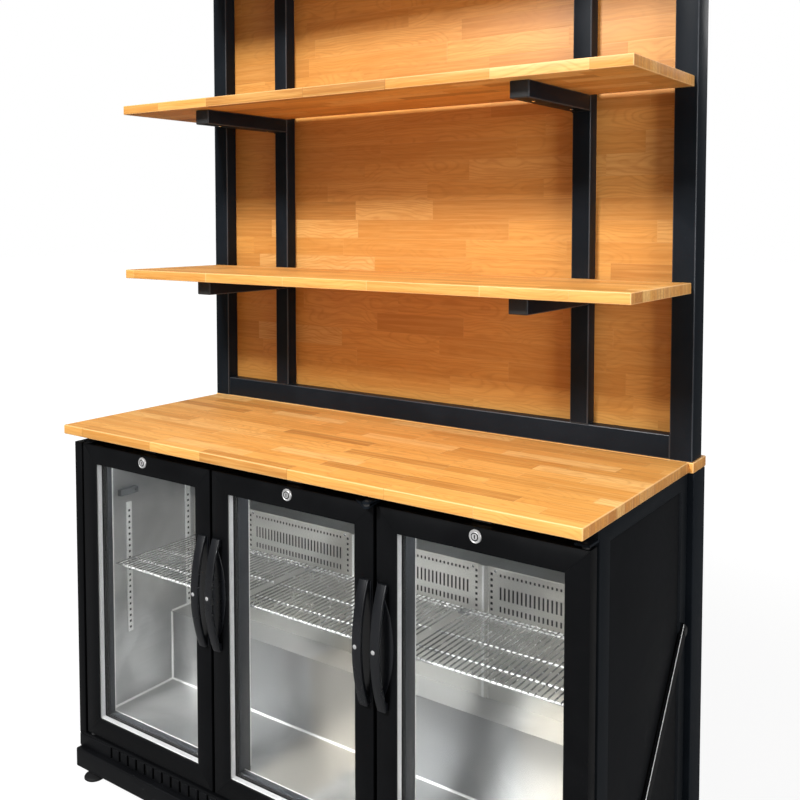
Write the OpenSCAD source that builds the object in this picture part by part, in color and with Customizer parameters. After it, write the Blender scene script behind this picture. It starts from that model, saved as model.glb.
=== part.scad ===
// Refrigerated back bar: a three-door cooler under a wooden worktop, with a steel and wood shelf frame.
// Millimetres, +Z up, front at -Y. The origin is on the floor, under the middle of the unit.

/* [Worktop] */
// Width of the worktop and of the cooler under it
unit_w = 1350; // [1290:5:1500]
// Height of the worktop's upper face
worktop_h = 878; // [860:1:920]
// Depth of the front board
worktop_d = 510; // [490:1:560]
// Thickness of the boards
worktop_t = 22; // [20:1:32]
// How far the front board stands out past the door faces
overhang = 30; // [28:1:40]
// Depth of the rear board
rear_strip_d = 80; // [76:1:110]
// How far the rear board and the legs stand out past each end
rear_over = 10; // [8:0.5:20]
// Joint between the two boards
board_joint = 0.5; // [0.2:0.1:1]

/* [Upper frame] */
// Height of the shelf frame above the worktop
frame_h = 1252; // [1232:5:1322]
// Width of the outer posts
outer_post_w = 48; // [38:1:60]
// How far the outer posts stand out past each end of the front board
post_over = 7; // [0:0.5:8]
// Depth of the outer posts
post_d = 60; // [54:1:70]
// Width of the inner posts and of the shelf arms
inner_post_w = 42; // [34:1:50]
// Distance of the inner posts from the middle
inner_post_x = 432; // [380:1:470]
// Height of the lower and the upper rail
rail_h = 50; // [40:1:60]
// How far the rails lie behind the posts' front faces
rail_set = 3; // [1:0.5:6]
// Thickness of the wooden back panel
panel_t = 18; // [14:1:20]
// How far the back panel lies behind the posts' front faces
panel_set = 34; // [28:1:38]

/* [Wooden shelves] */
// Height of the lowest shelf's upper face above the worktop
shelf_first_h = 366; // [340:1:380]
// Distance from one shelf to the next
shelf_pitch = 414; // [380:1:420]
// Thickness of the shelves
shelf_t = 22; // [18:1:30]
// Depth of the shelves in front of the posts
shelf_d = 320; // [260:1:340]
// Height of the shelf arms
arm_h = 34; // [28:1:45]
// How far the arms end behind the shelves' front edges
arm_set = 38; // [20:1:60]

/* [Rear legs] */
// Width of the rear legs
leg_w = 40; // [30:1:50]
// Depth of the rear legs
leg_d = 70; // [60:1:74]
// Height of the braces' upper ends
brace_top_h = 538; // [480:1:600]
// Width of the braces
brace_w = 26; // [22:1:45]
// Thickness of the braces
brace_t = 6; // [3:0.5:6]

/* [Doors] */
// Space between the worktop's underside and the door tops
door_top_gap = 24; // [20:0.5:28]
// Gap between the sill and the door bottoms
door_low_gap = 7; // [6.5:0.5:10]
// Thickness of the door frames
door_t = 28; // [26:0.5:34]
// Width of the door frames' bars
door_bar = 45; // [44:1:52]
// Gap between neighbouring doors
door_gap = 8; // [7:0.5:10]
// Width of the fixed post left of the first door
end_post_w = 24; // [20:1:35]
// Thickness of the gaskets behind the doors
gasket_t = 10; // [9:0.5:14]
// Width of the gaskets
gasket_w = 14; // [10:1:14]
// Distance of the gaskets from the door edges
gasket_in = 27; // [26:1:28]
// Thickness of one glass pane
pane_t = 4; // [3:0.5:5]
// Distance of the outer doors' pivots from the door edge
pivot_in = 12; // [11:0.5:14]
// Distance of the outer doors' pivots behind the door face
pivot_back = 10; // [9:0.5:12]
// Radius of the outer doors' hinge pins
pin_r = 3.95; // [3:0.05:4.5]
// Radial clearance round the hinge pins and lock plugs
run_gap = 0.05; // [0.02:0.01:0.1]

/* [Handles] */
// Height of the handles
handle_h = 246; // [230:1:300]
// Height of the handles' middle above the floor
handle_mid_h = 564; // [540:1:600]
// Distance of the handles' outer faces from the doors
handle_out = 34; // [30:0.5:36]
// Width of the handles' bars
handle_w = 21; // [18:1:25]
// Distance of the handle bars from the door edge
handle_in = 7; // [6:0.5:10]
// Thickness of the handles' bars
handle_bar_t = 9; // [7:0.5:11]

/* [Locks] */
// Distance of the locks below the door tops
lock_drop = 17; // [16:0.5:18]
// Radius of the lock rosettes
lock_ring_r = 12.5; // [10:0.5:14]
// Radius of the lock plugs
plug_r = 5.5; // [4.5:0.1:6]
// Length of the lock cams
cam_l = 26; // [24:0.5:30]

/* [Cabinet] */
// Thickness of the side walls
wall_t = 40; // [30:1:45]
// Thickness of the top wall
top_t = 47; // [35:1:55]
// Thickness of the back wall
back_t = 45; // [35:1:50]
// Height of the compartment's floor above the ground
inner_floor_h = 146; // [142:1:150]
// Height of the step over the machine space
step_h = 330; // [320:1:340]
// Distance of the step's face behind the worktop's front edge
step_y = 296; // [286:1:300]
// Thickness of the step's walls
step_t = 25; // [20:1:30]
// Thickness of the bright liner sheets
liner_t = 1; // [0.8:0.1:1.5]
// Distance of the evaporator covers behind the worktop's front edge
cover_y = 376; // [370:1:380]
// Height of the evaporator covers' upper edges
cover_top_h = 622; // [610:1:640]
// Width of an evaporator cover as a share of the space between the side walls
cover_share = 0.28233; // [0.27:0.00001:0.292]
// Distance from one slit of the covers to the next
slit_pitch = 10.2; // [9:0.2:16]
// Distance from one hole of the pilasters to the next
slot_pitch = 15; // [12:1:30]
// Width of the posts behind the gaps between the doors
mullion_w = 94; // [92:1:110]
// Depth of those posts
mullion_d = 32; // [26:1:36]

/* [Base] */
// Height of the space under the plinth
foot_h = 24; // [20:1:30]
// Radius of the feet
foot_r = 25; // [20:0.5:30]
// Height of the plinth
plinth_h = 46; // [40:1:50]
// How far the plinth stands in front of the door faces
plinth_out = 12; // [8:0.5:14]
// Height of the louvred strip
louvre_h = 36; // [32:0.5:38]
// Distance from one louvre slot to the next
louvre_pitch = 30; // [26:1:45]
// Width of a louvre slot
louvre_slot = 7; // [5:0.5:14]

/* [Wire shelves] */
// Height of the wire shelves' undersides
wire_shelf_h = 516; // [480:1:530]
// Radius of the wires
wire_r = 1.5; // [1.2:0.1:2]
// Radius of the cross rods
rod_r = 2.5; // [2:0.1:3]
// Distance from wire to wire
wire_pitch = 13; // [12:0.5:18]

/* [Fans] */
// Radius of the evaporator fans' blades
fan_r = 46; // [36:1:50]
// Radius of the condenser fan's blades
cond_fan_r = 80; // [70:1:90]

/* [Hidden] */
$fn = 48;
touch = 0.2;
steel_black = "#1b1c1f";
wood_tone = "#dc9a52";
bright_steel = "#c9cacb";
dark_plastic = "#141518";

// Depth is counted from the worktop's front edge, and the whole unit is then centred on the origin.
front_reach = max(0, handle_out - overhang);
strip_y = worktop_d + board_joint;
unit_back = strip_y + rear_strip_d;
centre_y = (unit_back - front_reach) / 2;

under_h = worktop_h - worktop_t;
frame_top = worktop_h + frame_h;
post_y = strip_y;
panel_y = post_y + panel_set;
post_x = unit_w / 2 + post_over;
leg_x = unit_w / 2 + rear_over;
leg_y = strip_y + (rear_strip_d - leg_d) / 2;

plinth_top = foot_h + plinth_h;
sill_t = 3;
louvre_top = plinth_top + louvre_h;
sill_top = louvre_top + sill_t;

door_face = overhang;
door_back = door_face + door_t;
door_top = under_h - door_top_gap;
door_bottom = sill_top + door_low_gap;
door_w = (unit_w - end_post_w - 3 * door_gap) / 3;
door_x = [for (i = [0:2]) -unit_w / 2 + end_post_w + door_gap + i * (door_w + door_gap)];
gap_x = [for (i = [1:2]) door_x[i] - door_gap / 2];

cab_y = door_back + gasket_t;
cab_back = worktop_d - 5;
inner_x = unit_w / 2 - wall_t;
inner_top = under_h - top_t;
inner_back = cab_back - back_t;
machine_y = step_y + step_t;
step_under = step_h - step_t;
sheet_t = 2;

// The middle door swings on arms that carry its pivot ahead of the door face, so that its own hinge side
// handle clears the handle of the next door.
swan_clear = 1.5;
swan_out = handle_out - (handle_in + door_gap / 2) + swan_clear;
swan_x = gap_x[1];
swan_y = door_face - swan_out;
swan_pin_r = 3.5;
swan_boss_r = 7;
arm_plate_t = 4;
pad_t = 1;
bracket_w = 16;

// Every piece is drawn with depth counted from the worktop's front edge.
module centred() translate([0, -centre_y, 0]) children();

// A block between two corners.
module block(low, high) translate(low) cube(high - low);

// A round bar along +Y.
module bar_y(at, r, l, sides = 48) translate(at) rotate([-90, 0, 0]) cylinder(r = r, h = l, $fn = sides);

// A round bar along +X.
module bar_x(at, r, l, sides = 48) translate(at) rotate([0, 90, 0]) cylinder(r = r, h = l, $fn = sides);

// Copies at both ends of the unit, the second one mirrored.
module both_ends() {
  children();
  mirror([1, 0, 0]) children();
}

// Pieces of the worktop and the wooden boards

module worktop_board() {
  color(wood_tone) centred() block([-unit_w / 2, 0, under_h], [unit_w / 2, worktop_d, worktop_h]);
}

module rear_strip() {
  color(wood_tone) centred() block([-leg_x, strip_y, under_h], [leg_x, unit_back, worktop_h]);
}

module back_panel() {
  side = post_x - outer_post_w;
  color(wood_tone) centred() block([-side, panel_y, worktop_h], [side, panel_y + panel_t, frame_top]);
}

module wood_shelves() {
  color(wood_tone) centred() for (i = [0:2]) {
    top = worktop_h + shelf_first_h + i * shelf_pitch;
    block([-unit_w / 2, post_y - shelf_d, top - shelf_t], [unit_w / 2, post_y, top]);
  }
}

// Pieces of the steel frame

module outer_posts() {
  color(steel_black) centred() both_ends()
    block([post_x - outer_post_w, post_y, worktop_h], [post_x, post_y + post_d, frame_top]);
}

module inner_posts() {
  color(steel_black) centred() both_ends()
    block([inner_post_x - inner_post_w / 2, post_y, worktop_h + rail_h],
          [inner_post_x + inner_post_w / 2, panel_y, frame_top - rail_h]);
}

module frame_rails() {
  side = post_x - outer_post_w;
  tie_h = 40;
  tie_low_h = 100;
  tie_x = leg_x - leg_w;
  tie_y = leg_y + 15;
  color(steel_black) centred() {
    for (z = [worktop_h, frame_top - rail_h])
      block([-side, post_y + rail_set, z], [side, panel_y, z + rail_h]);
    for (z = [tie_low_h, under_h - tie_h])
      block([-tie_x, tie_y, z], [tie_x, tie_y + tie_h, z + tie_h]);
  }
}

module shelf_arms() {
  color(steel_black) centred() both_ends() for (i = [0:2]) {
    top = worktop_h + shelf_first_h + i * shelf_pitch - shelf_t;
    block([inner_post_x - inner_post_w / 2, post_y - shelf_d + arm_set, top - arm_h],
          [inner_post_x + inner_post_w / 2, post_y, top]);
  }
}

module rear_legs() {
  color(steel_black) centred() both_ends()
    block([leg_x - leg_w, leg_y, 0], [leg_x, leg_y + leg_d, under_h]);
}

// The braces are flat bars outside the cooler's sides, from the rear legs down to the base near the front.
brace_front = [110, foot_h + plinth_h / 2];
brace_rear = [leg_y - 32, brace_top_h];

module side_braces() {
  run = brace_rear - brace_front;
  long = norm(run);
  tilt = atan2(run[1], run[0]);
  end = brace_w / 2;
  color(steel_black) centred() both_ends()
    translate([unit_w / 2, brace_front[0], brace_front[1]]) rotate([tilt, 0, 0]) difference() {
      translate([0, -end, -brace_w / 2]) cube([brace_t, long + 2 * end, brace_w]);
      for (y = [0, long]) bar_x([-1, y, 0], brace_bolt_r + 0.3, brace_t + 2);
    }
}

brace_bolt_r = 5;

module brace_bolts() {
  head_t = 3;
  grip = 12;
  color(bright_steel) centred() both_ends() for (p = [brace_front, brace_rear]) {
    bar_x([unit_w / 2 + brace_t + 0.1, p[0], p[1]], brace_bolt_r * 1.8, head_t, 6);
    bar_x([unit_w / 2 + brace_t - grip, p[0], p[1]], brace_bolt_r, grip + 0.5);
  }
}

// Insulated walls of the cooler

module side_walls() {
  rim_front = 45;
  rim_rear = 36;
  rim = 22;
  recess = 4;
  color(steel_black) centred() both_ends() difference() {
    block([inner_x, cab_y, plinth_top], [unit_w / 2, cab_back, under_h]);
    block([unit_w / 2 - recess, cab_y + rim_front, plinth_top + rim],
          [unit_w / 2 + 1, cab_back - rim_rear, under_h - rim]);
    bar_x([unit_w / 2 - 20, brace_rear[0], brace_rear[1]], brace_bolt_r + 0.3, 30);
  }
}

module top_wall() {
  color(steel_black) centred() block([-inner_x, cab_y, inner_top], [inner_x, cab_back, under_h]);
}

module floor_wall() {
  color(steel_black) centred()
    block([-inner_x, cab_y, sill_top], [inner_x, machine_y, inner_floor_h - liner_t]);
}

module back_wall() {
  color(steel_black) centred()
    block([-inner_x, inner_back + liner_t, step_under], [inner_x, cab_back, inner_top]);
}

// Walls of the step over the machine space, between the side sheets of the liner
module step_walls() {
  side = inner_x - liner_t;
  top = step_h - liner_t;
  color(bright_steel) centred() {
    block([-side, step_y + liner_t, inner_floor_h - liner_t + touch], [side, machine_y, top]);
    block([-side, machine_y + touch, step_under], [side, inner_back + liner_t, top]);
  }
}

module liner_sheets() {
  side = inner_x - liner_t;
  rear = inner_back + liner_t;
  color(bright_steel) centred() {
    both_ends() block([side, cab_y, inner_floor_h - liner_t], [inner_x, rear, inner_top]);
    block([-inner_x, cab_y, inner_top - liner_t], [inner_x, rear, inner_top]);
    block([-inner_x, cab_y, inner_floor_h - liner_t], [inner_x, step_y + liner_t, inner_floor_h]);
    block([-inner_x, step_y, inner_floor_h - liner_t], [inner_x, step_y + liner_t, step_h]);
    block([-inner_x, step_y, step_h - liner_t], [inner_x, rear, step_h]);
    block([-inner_x, inner_back, step_h - liner_t], [inner_x, rear, inner_top]);
  }
}

// The surround that the gaskets close against, and the fixed post at the left end
surround_d = 14;

module door_posts() {
  low = inner_floor_h;
  high = inner_top - liner_t;
  half = mullion_w / 2;
  left = door_x[0] + door_bar - 1;
  side = inner_x - liner_t;
  starts = [left + touch, gap_x[0] + half + touch, gap_x[1] + half + touch];
  ends = [gap_x[0] - half - touch, gap_x[1] - half - touch, side];
  color(steel_black) centred() {
    for (x = gap_x) block([x - half, cab_y, low], [x + half, cab_y + mullion_d, high]);
    block([-side, cab_y, low], [left, cab_y + surround_d, high]);
    for (i = [0:2]) {
      block([starts[i], cab_y, low], [ends[i], cab_y + surround_d, door_bottom + door_bar - 1]);
      block([starts[i], cab_y, door_top - door_bar + 1], [ends[i], cab_y + surround_d, high]);
    }
    block([-unit_w / 2, door_face, sill_top], [-unit_w / 2 + end_post_w, cab_y, door_top]);
  }
}

module sill_plate() {
  color(steel_black) centred() block([-unit_w / 2, door_face, louvre_top], [unit_w / 2, cab_y, sill_top]);
}

module louvre_panel() {
  plain_end = 95;
  margin = 7;
  count = floor((unit_w - 2 * plain_end) / louvre_pitch);
  first = -(count - 1) * louvre_pitch / 2;
  color(steel_black) centred() translate([0, door_face + sheet_t, plinth_top]) rotate([90, 0, 0])
    linear_extrude(sheet_t) difference() {
      translate([-unit_w / 2, 0]) square([unit_w, louvre_h]);
      for (i = [0:count - 1])
        translate([first + i * louvre_pitch - louvre_slot / 2, margin])
          square([louvre_slot, louvre_h - 2 * margin]);
    }
}

// Base frame: two cross beams, two side rails and the tray of the machine space
beam_d = 42;
beam_front = door_face - plinth_out;

module base_frame() {
  rail_y = beam_front + beam_d + touch;
  rear_y = cab_back - beam_d;
  color(steel_black) centred() {
    difference() {
      block([-unit_w / 2, beam_front, foot_h], [unit_w / 2, beam_front + beam_d, plinth_top]);
      for (x = foot_x) foot_socket(x, foot_y[0]);
    }
    difference() {
      block([-inner_x + touch, rear_y, foot_h], [inner_x - touch, cab_back, plinth_top]);
      for (x = rear_foot_x) foot_socket(x, foot_y[1]);
    }
    both_ends() difference() {
      block([inner_x, rail_y, foot_h], [unit_w / 2, cab_back, plinth_top]);
      bar_x([unit_w / 2 - 20, brace_front[0], brace_front[1]], brace_bolt_r + 0.3, 30);
    }
    block([-inner_x + touch, machine_y, plinth_top + touch], [inner_x - touch, cab_back - 5, plinth_top + 2]);
  }
}

// Levelling feet: a pad, a threaded stem that enters the beam, and a lock nut
foot_in = 44;
rear_foot_in = 40;
foot_x = [foot_in - unit_w / 2, unit_w / 2 - foot_in];
rear_foot_x = [rear_foot_in - inner_x, inner_x - rear_foot_in];
foot_y = [beam_front + beam_d / 2, cab_back - beam_d / 2];
stem_r = 6;
stem_in = 20;

module foot_socket(x, y) {
  translate([x, y, foot_h - 1]) cylinder(r = stem_r + 0.2, h = stem_in + 2);
}

module foot(x, y) {
  pad_h = 9;
  nut_h = 6;
  translate([x, y, 0]) {
    cylinder(r = foot_r, h = pad_h);
    cylinder(r = stem_r, h = foot_h + stem_in);
    translate([0, 0, foot_h - nut_h]) cylinder(r = stem_r * 1.8, h = nut_h - touch, $fn = 6);
  }
}

module levelling_feet() {
  color(dark_plastic) centred() {
    for (x = foot_x) foot(x, foot_y[0]);
    for (x = rear_foot_x) foot(x, foot_y[1]);
  }
}

module rear_grille() {
  bottom = plinth_top + 6;
  height = step_under - bottom - touch;
  half = inner_x - touch;
  slots = 34;
  pitch = 34;
  slot_h = 60;
  color(steel_black) centred() translate([0, cab_back - 1, bottom]) rotate([90, 0, 0])
    linear_extrude(sheet_t) difference() {
      translate([-half, 0]) square([2 * half, height]);
      for (i = [0:slots - 1], row = [0:1])
        translate([(i - (slots - 1) / 2) * pitch - 4, 30 + row * (slot_h + 30)]) square([8, slot_h]);
    }
}

// Hinges: brackets on the cabinet, pins with collars, and the bores in the door bars

pivot_y = door_face + pivot_back;
left_pivot_x = door_x[0] + pivot_in;
right_pivot_x = door_x[2] + door_w - pivot_in;
pin_in = 14;
bracket_t = 4;
bracket_over = 5;
bracket_shift = 3;
swan_over = 10;
collar_r = 7;

module side_bracket(x) {
  half = 14;
  z = door_top + bracket_over;
  block([x - half, pivot_y - half + 4, z], [x + half, cab_y, z + bracket_t]);
  block([x - half, cab_y - bracket_t, z], [x + half, cab_y, under_h]);
}

module hinge_brackets() {
  low = sill_top - arm_plate_t;
  high = door_top + swan_over;
  color(steel_black) centred() {
    difference() {
      side_bracket(left_pivot_x + bracket_shift);
      pin_hole(left_pivot_x, pivot_y, door_top, pin_r);
    }
    difference() {
      side_bracket(right_pivot_x - bracket_shift);
      pin_hole(right_pivot_x, pivot_y, door_top, pin_r);
    }
    difference() {
      union() {
        block([swan_x - bracket_w / 2, swan_y, high], [swan_x + bracket_w / 2, cab_y, high + arm_plate_t]);
        translate([swan_x, swan_y, high]) cylinder(r = bracket_w / 2, h = arm_plate_t);
      }
      pin_hole(swan_x, swan_y, door_top, swan_pin_r);
    }
    difference() {
      union() {
        block([swan_x - bracket_w / 2, swan_y, low], [swan_x + bracket_w / 2, door_face, sill_top]);
        translate([swan_x, swan_y, low]) cylinder(r = bracket_w / 2, h = arm_plate_t);
      }
      pin_hole(swan_x, swan_y, low - 1, swan_pin_r);
    }
  }
}

module pin_hole(x, y, z, r) translate([x, y, z]) cylinder(r = r + run_gap, h = door_top_gap);

// Lower pins stand on the sill and carry the doors on their collars, upper pins hang in the brackets.
module hinge_pins() {
  color(bright_steel) centred() {
    for (x = [left_pivot_x, right_pivot_x]) {
      translate([x, pivot_y, sill_top]) cylinder(r = pin_r, h = door_bottom - sill_top + pin_in);
      translate([x, pivot_y, sill_top]) cylinder(r = collar_r, h = door_bottom - sill_top - touch);
      translate([x, pivot_y, door_top - pin_in]) cylinder(r = pin_r, h = pin_in + bracket_over + bracket_t);
      translate([x, pivot_y, door_top + touch]) cylinder(r = collar_r, h = bracket_over - 2 * touch);
    }
    translate([swan_x, swan_y, sill_top - arm_plate_t])
      cylinder(r = swan_pin_r, h = door_bottom - pad_t - sill_top + arm_plate_t);
    translate([swan_x, swan_y, sill_top + touch])
      cylinder(r = swan_boss_r - 1, h = door_bottom - pad_t - arm_plate_t - sill_top - 2 * touch);
    translate([swan_x, swan_y, door_top + pad_t])
      cylinder(r = swan_pin_r, h = swan_over - pad_t + arm_plate_t);
    translate([swan_x, swan_y, door_top + pad_t + arm_plate_t + touch])
      cylinder(r = swan_boss_r - 1, h = swan_over - pad_t - arm_plate_t - 2 * touch);
  }
}

// Swan neck arms on the top and the bottom of the middle door
module pivot_arm(z, pad_z) {
  seat_l = 43;
  seat_end = swan_x - door_gap / 2 - 1;
  seat = [seat_end - seat_l, seat_end];
  seat_y = [door_face + 3, door_back - 3];
  difference() {
    union() {
      translate([0, 0, z]) linear_extrude(arm_plate_t) polygon([
        [seat[0], seat_y[1]],
        [seat[1], seat_y[1]],
        [swan_x + swan_boss_r * 0.9, swan_y + swan_boss_r * 0.4],
        [swan_x - swan_boss_r * 0.9, swan_y - swan_boss_r * 0.4],
        [seat[0], seat_y[0]]
      ]);
      translate([swan_x, swan_y, z]) cylinder(r = swan_boss_r, h = arm_plate_t);
      block([seat[0], seat_y[0], pad_z], [seat[1], seat_y[1], pad_z + pad_t]);
    }
    translate([swan_x, swan_y, z - 1]) cylinder(r = swan_pin_r + run_gap, h = arm_plate_t + 2);
  }
}

module pivot_arms() {
  color(bright_steel) centred() {
    pivot_arm(door_top + pad_t, door_top);
    pivot_arm(door_bottom - pad_t - arm_plate_t, door_bottom - pad_t);
  }
}

// Keepers that the lock cams turn behind
module lock_keepers() {
  lip_t = 3;
  half = 20;
  lip_y = door_back - 6;
  color(bright_steel) centred() for (i = [0:2]) {
    x = door_x[i] + door_w / 2;
    block([x - half, lip_y, door_top + 2.5], [x + half, lip_y + lip_t, under_h]);
    block([x - half, lip_y, under_h - lip_t], [x + half, cab_y, under_h]);
  }
}

// Doors: i is 0, 1 or 2 from the left

module door_frame(i) {
  x = door_x[i];
  lock_x = x + door_w / 2;
  lock_z = door_top - lock_drop;
  color(steel_black) centred() difference() {
    union() {
      block([x, door_face, door_top - door_bar], [x + door_w, door_back, door_top]);
      block([x, door_face, door_bottom], [x + door_w, door_back, door_bottom + door_bar]);
      for (sx = [x, x + door_w - door_bar])
        block([sx, door_face, door_bottom + door_bar + touch],
              [sx + door_bar, door_back, door_top - door_bar - touch]);
    }
    glass_seat(i);
    bar_y([lock_x, door_face - 1, lock_z], lock_sleeve_r + touch, door_t + 2);
    if (i != 1) {
      pivot = i == 0 ? left_pivot_x : right_pivot_x;
      translate([pivot, pivot_y, door_top - pin_in - 1]) cylinder(r = pin_r + run_gap, h = pin_in + 2);
      translate([pivot, pivot_y, door_bottom - 1]) cylinder(r = pin_r + run_gap, h = pin_in + 2);
    }
  }
}

seat_in = 8;
seat_front = 3;
glass_gap = 0.3;

// The groove in the bars that holds the double pane
module glass_seat(i) {
  x = door_x[i] + door_bar - seat_in;
  block([x, door_face + seat_front, door_bottom + door_bar - seat_in],
        [x + door_w - 2 * door_bar + 2 * seat_in, door_back - seat_front, door_top - door_bar + seat_in]);
}

module door_glass(i) {
  x = door_x[i] + door_bar - seat_in + glass_gap;
  w = door_w - 2 * door_bar + 2 * seat_in - 2 * glass_gap;
  low = door_bottom + door_bar - seat_in + glass_gap;
  high = door_top - door_bar + seat_in - glass_gap;
  panes = [door_face + seat_front + glass_gap, door_back - seat_front - pane_t - glass_gap];
  color([0.8, 0.9, 0.9, 0.35]) centred() for (y = panes) block([x, y, low], [x + w, y + pane_t, high]);
}

module door_gasket(i) {
  x = door_x[i];
  y = [door_back, cab_y - 0.3];
  low = door_bottom + gasket_in;
  high = door_top - gasket_in;
  left = x + gasket_in;
  right = x + door_w - gasket_in;
  color(dark_plastic) centred() {
    for (z = [low, high - gasket_w]) block([left, y[0], z], [right, y[1], z + gasket_w]);
    for (sx = [left, right - gasket_w])
      block([sx, y[0], low + gasket_w + touch], [sx + gasket_w, y[1], high - gasket_w - touch]);
  }
}

// A bowed handle with its finger plate; side is 1 where the door lies to the right of the handle
plate_t = 2.5;
plate_in = 3;
handle_bow = handle_out - handle_bar_t;
bow_r = (pow(handle_h / 2, 2) + pow(handle_bow, 2)) / (2 * handle_bow);

module handle(edge, side) {
  mid_x = edge + side * (handle_in + handle_w / 2);
  foot_l = 16;
  dish_w = door_bar - 7;
  dish_r = (pow(handle_h / 2, 2) + pow(dish_w, 2)) / (2 * dish_w);
  translate([mid_x - handle_w / 2, door_face, handle_mid_h]) intersection() {
    translate([0, bow_r - handle_out, 0]) rotate([0, 90, 0]) difference() {
      cylinder(r = bow_r, h = handle_w, $fn = 96);
      translate([0, 0, -1]) cylinder(r = bow_r - handle_bar_t, h = handle_w + 2, $fn = 96);
    }
    translate([0, -handle_out, -handle_h / 2]) cube([handle_w, handle_out, handle_h]);
  }
  for (s = [-1, 1]) {
    z = handle_mid_h + s * (handle_h / 2 - foot_l / 2);
    block([mid_x - handle_w / 2, door_face - handle_bar_t - 1, z - foot_l / 2],
          [mid_x + handle_w / 2, door_face, z + foot_l / 2]);
  }
  plate_x = edge + side * plate_in;
  translate([plate_x, door_face, handle_mid_h]) rotate([90, 0, 0]) linear_extrude(plate_t) intersection() {
    translate([side * (dish_w - dish_r), 0]) circle(r = dish_r, $fn = 96);
    translate([side > 0 ? 0 : -dish_w, -handle_h / 2]) square([dish_w, handle_h]);
  }
}

module door_handle(i) {
  x = door_x[i];
  color(dark_plastic) centred() {
    if (i < 2) handle(x + door_w, -1);
    if (i > 0) handle(x, 1);
  }
}

// Locks: the housing stays in the door and the plug turns in it
lock_sleeve_r = plug_r + 2.5;

module lock_housing(i) {
  x = door_x[i] + door_w / 2;
  z = door_top - lock_drop;
  ring_t = 3;
  color(bright_steel) centred() difference() {
    union() {
      bar_y([x, door_face - ring_t, z], lock_ring_r, ring_t);
      bar_y([x, door_face - ring_t, z], lock_sleeve_r, door_t + ring_t);
    }
    bar_y([x, door_face - ring_t - 1, z], plug_r + run_gap, door_t + ring_t + 2);
  }
}

module lock_plug(i) {
  x = door_x[i] + door_w / 2;
  z = door_top - lock_drop;
  cam_t = 3;
  cam_h = 12;
  key_w = 1.2;
  color(bright_steel) centred() difference() {
    union() {
      bar_y([x, door_face - 3.5, z], plug_r, door_t + 5);
      bar_y([x, door_back + 0.5, z], cam_h / 2, cam_t + 0.5);
      block([x, door_back + 1, z - cam_h / 2], [x + cam_l, door_back + 1 + cam_t, z + cam_h / 2]);
    }
    block([x - key_w, door_face - 4, z - 3.5], [x + key_w, door_face + 4, z + 3.5]);
  }
}

// Inside the compartment

cover_edge = 10;
hole = 6;
slit_w = 4.5;
tall_drop = 50;
tall_h = 28;
short_drop = 77;
short_h = 13;
column_pitch = 13;
top_row_drop = 18;
slit_margin = 30;
end_margin = 6;

// Joints between the covers, from the left wall to the right one
cover_pitch = 2 * (inner_x - liner_t) * cover_share;
cover_x = concat([-inner_x + liner_t], [for (k = [3:-1:1]) inner_x - liner_t - k * cover_pitch],
                 [inner_x - liner_t]);

// Perforated cover: a row of square holes over a row of tall and a row of short slits, and a column of
// square holes at each end
module fan_panel(i) {
  left = i == 0 ? cover_x[0] + touch : cover_x[i] + cover_edge;
  right = i == 3 ? cover_x[4] - touch : cover_x[i + 1] - cover_edge;
  w = right - left;
  h = cover_top_h - step_h;
  top_row = h - top_row_drop;
  spaces = floor((w - 2 * slit_margin) / slit_pitch);
  first = (w - spaces * slit_pitch) / 2;
  translate([left, cover_y + sheet_t, step_h]) rotate([90, 0, 0]) linear_extrude(sheet_t) difference() {
    square([w, h]);
    for (c = [0:spaces]) translate([first + c * slit_pitch, top_row]) {
      translate([-slit_w / 2, 0]) square([slit_w, hole]);
      for (row = [[tall_drop, tall_h], [short_drop, short_h]])
        translate([-slit_w / 2, -row[0]]) square([slit_w, row[1]]);
    }
    for (x = [end_margin, w - end_margin - hole], r = [0:7])
      translate([x, top_row - r * column_pitch]) square(hole);
  }
  block([left, cover_y + sheet_t + touch, cover_top_h - sheet_t], [right, inner_back, cover_top_h]);
}

module fan_panels() {
  color(bright_steel) centred() for (i = [0:3]) fan_panel(i);
}

pilaster_w = 16;
pilaster_t = 3;
pilaster_front_y = 150;
pilaster_rear_y = 346;
pilaster_rise = 180;
pilaster_drop = 150;
pilaster_end = 12;
first_slot = 8;

// A slotted strip standing on its lower end, face towards -Y
module pilaster(height, width) {
  slots = floor((height - pilaster_end) / slot_pitch);
  rotate([90, 0, 0]) linear_extrude(pilaster_t) difference() {
    translate([-width / 2, 0]) square([width, height]);
    for (s = [0:slots - 1]) translate([-hole / 2, first_slot + s * slot_pitch]) square(hole);
  }
}

module pilasters() {
  low = inner_floor_h + pilaster_rise;
  low_rear = step_h + 5;
  top = inner_top - pilaster_drop;
  side = inner_x - liner_t;
  color(bright_steel) centred() {
    both_ends() for (p = [[pilaster_front_y, low], [pilaster_rear_y, low_rear]])
      translate([side, p[0] + pilaster_w / 2, p[1]]) rotate([0, 0, -90]) pilaster(top - p[1], pilaster_w);
    for (x = gap_x) {
      translate([x, cab_y + mullion_d, low]) rotate([0, 0, 180]) pilaster(top - low, pilaster_w);
    }
    for (k = [1:3]) translate([cover_x[k], cover_y, step_h])
      block([-cover_edge - 2, -pilaster_t, 0], [cover_edge + 2, 0, cover_top_h - step_h]);
  }
}

wire_front = cab_y + mullion_d + pilaster_t + 3;
wire_back = cover_y - 6;
shelf_edge = 9;

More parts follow.
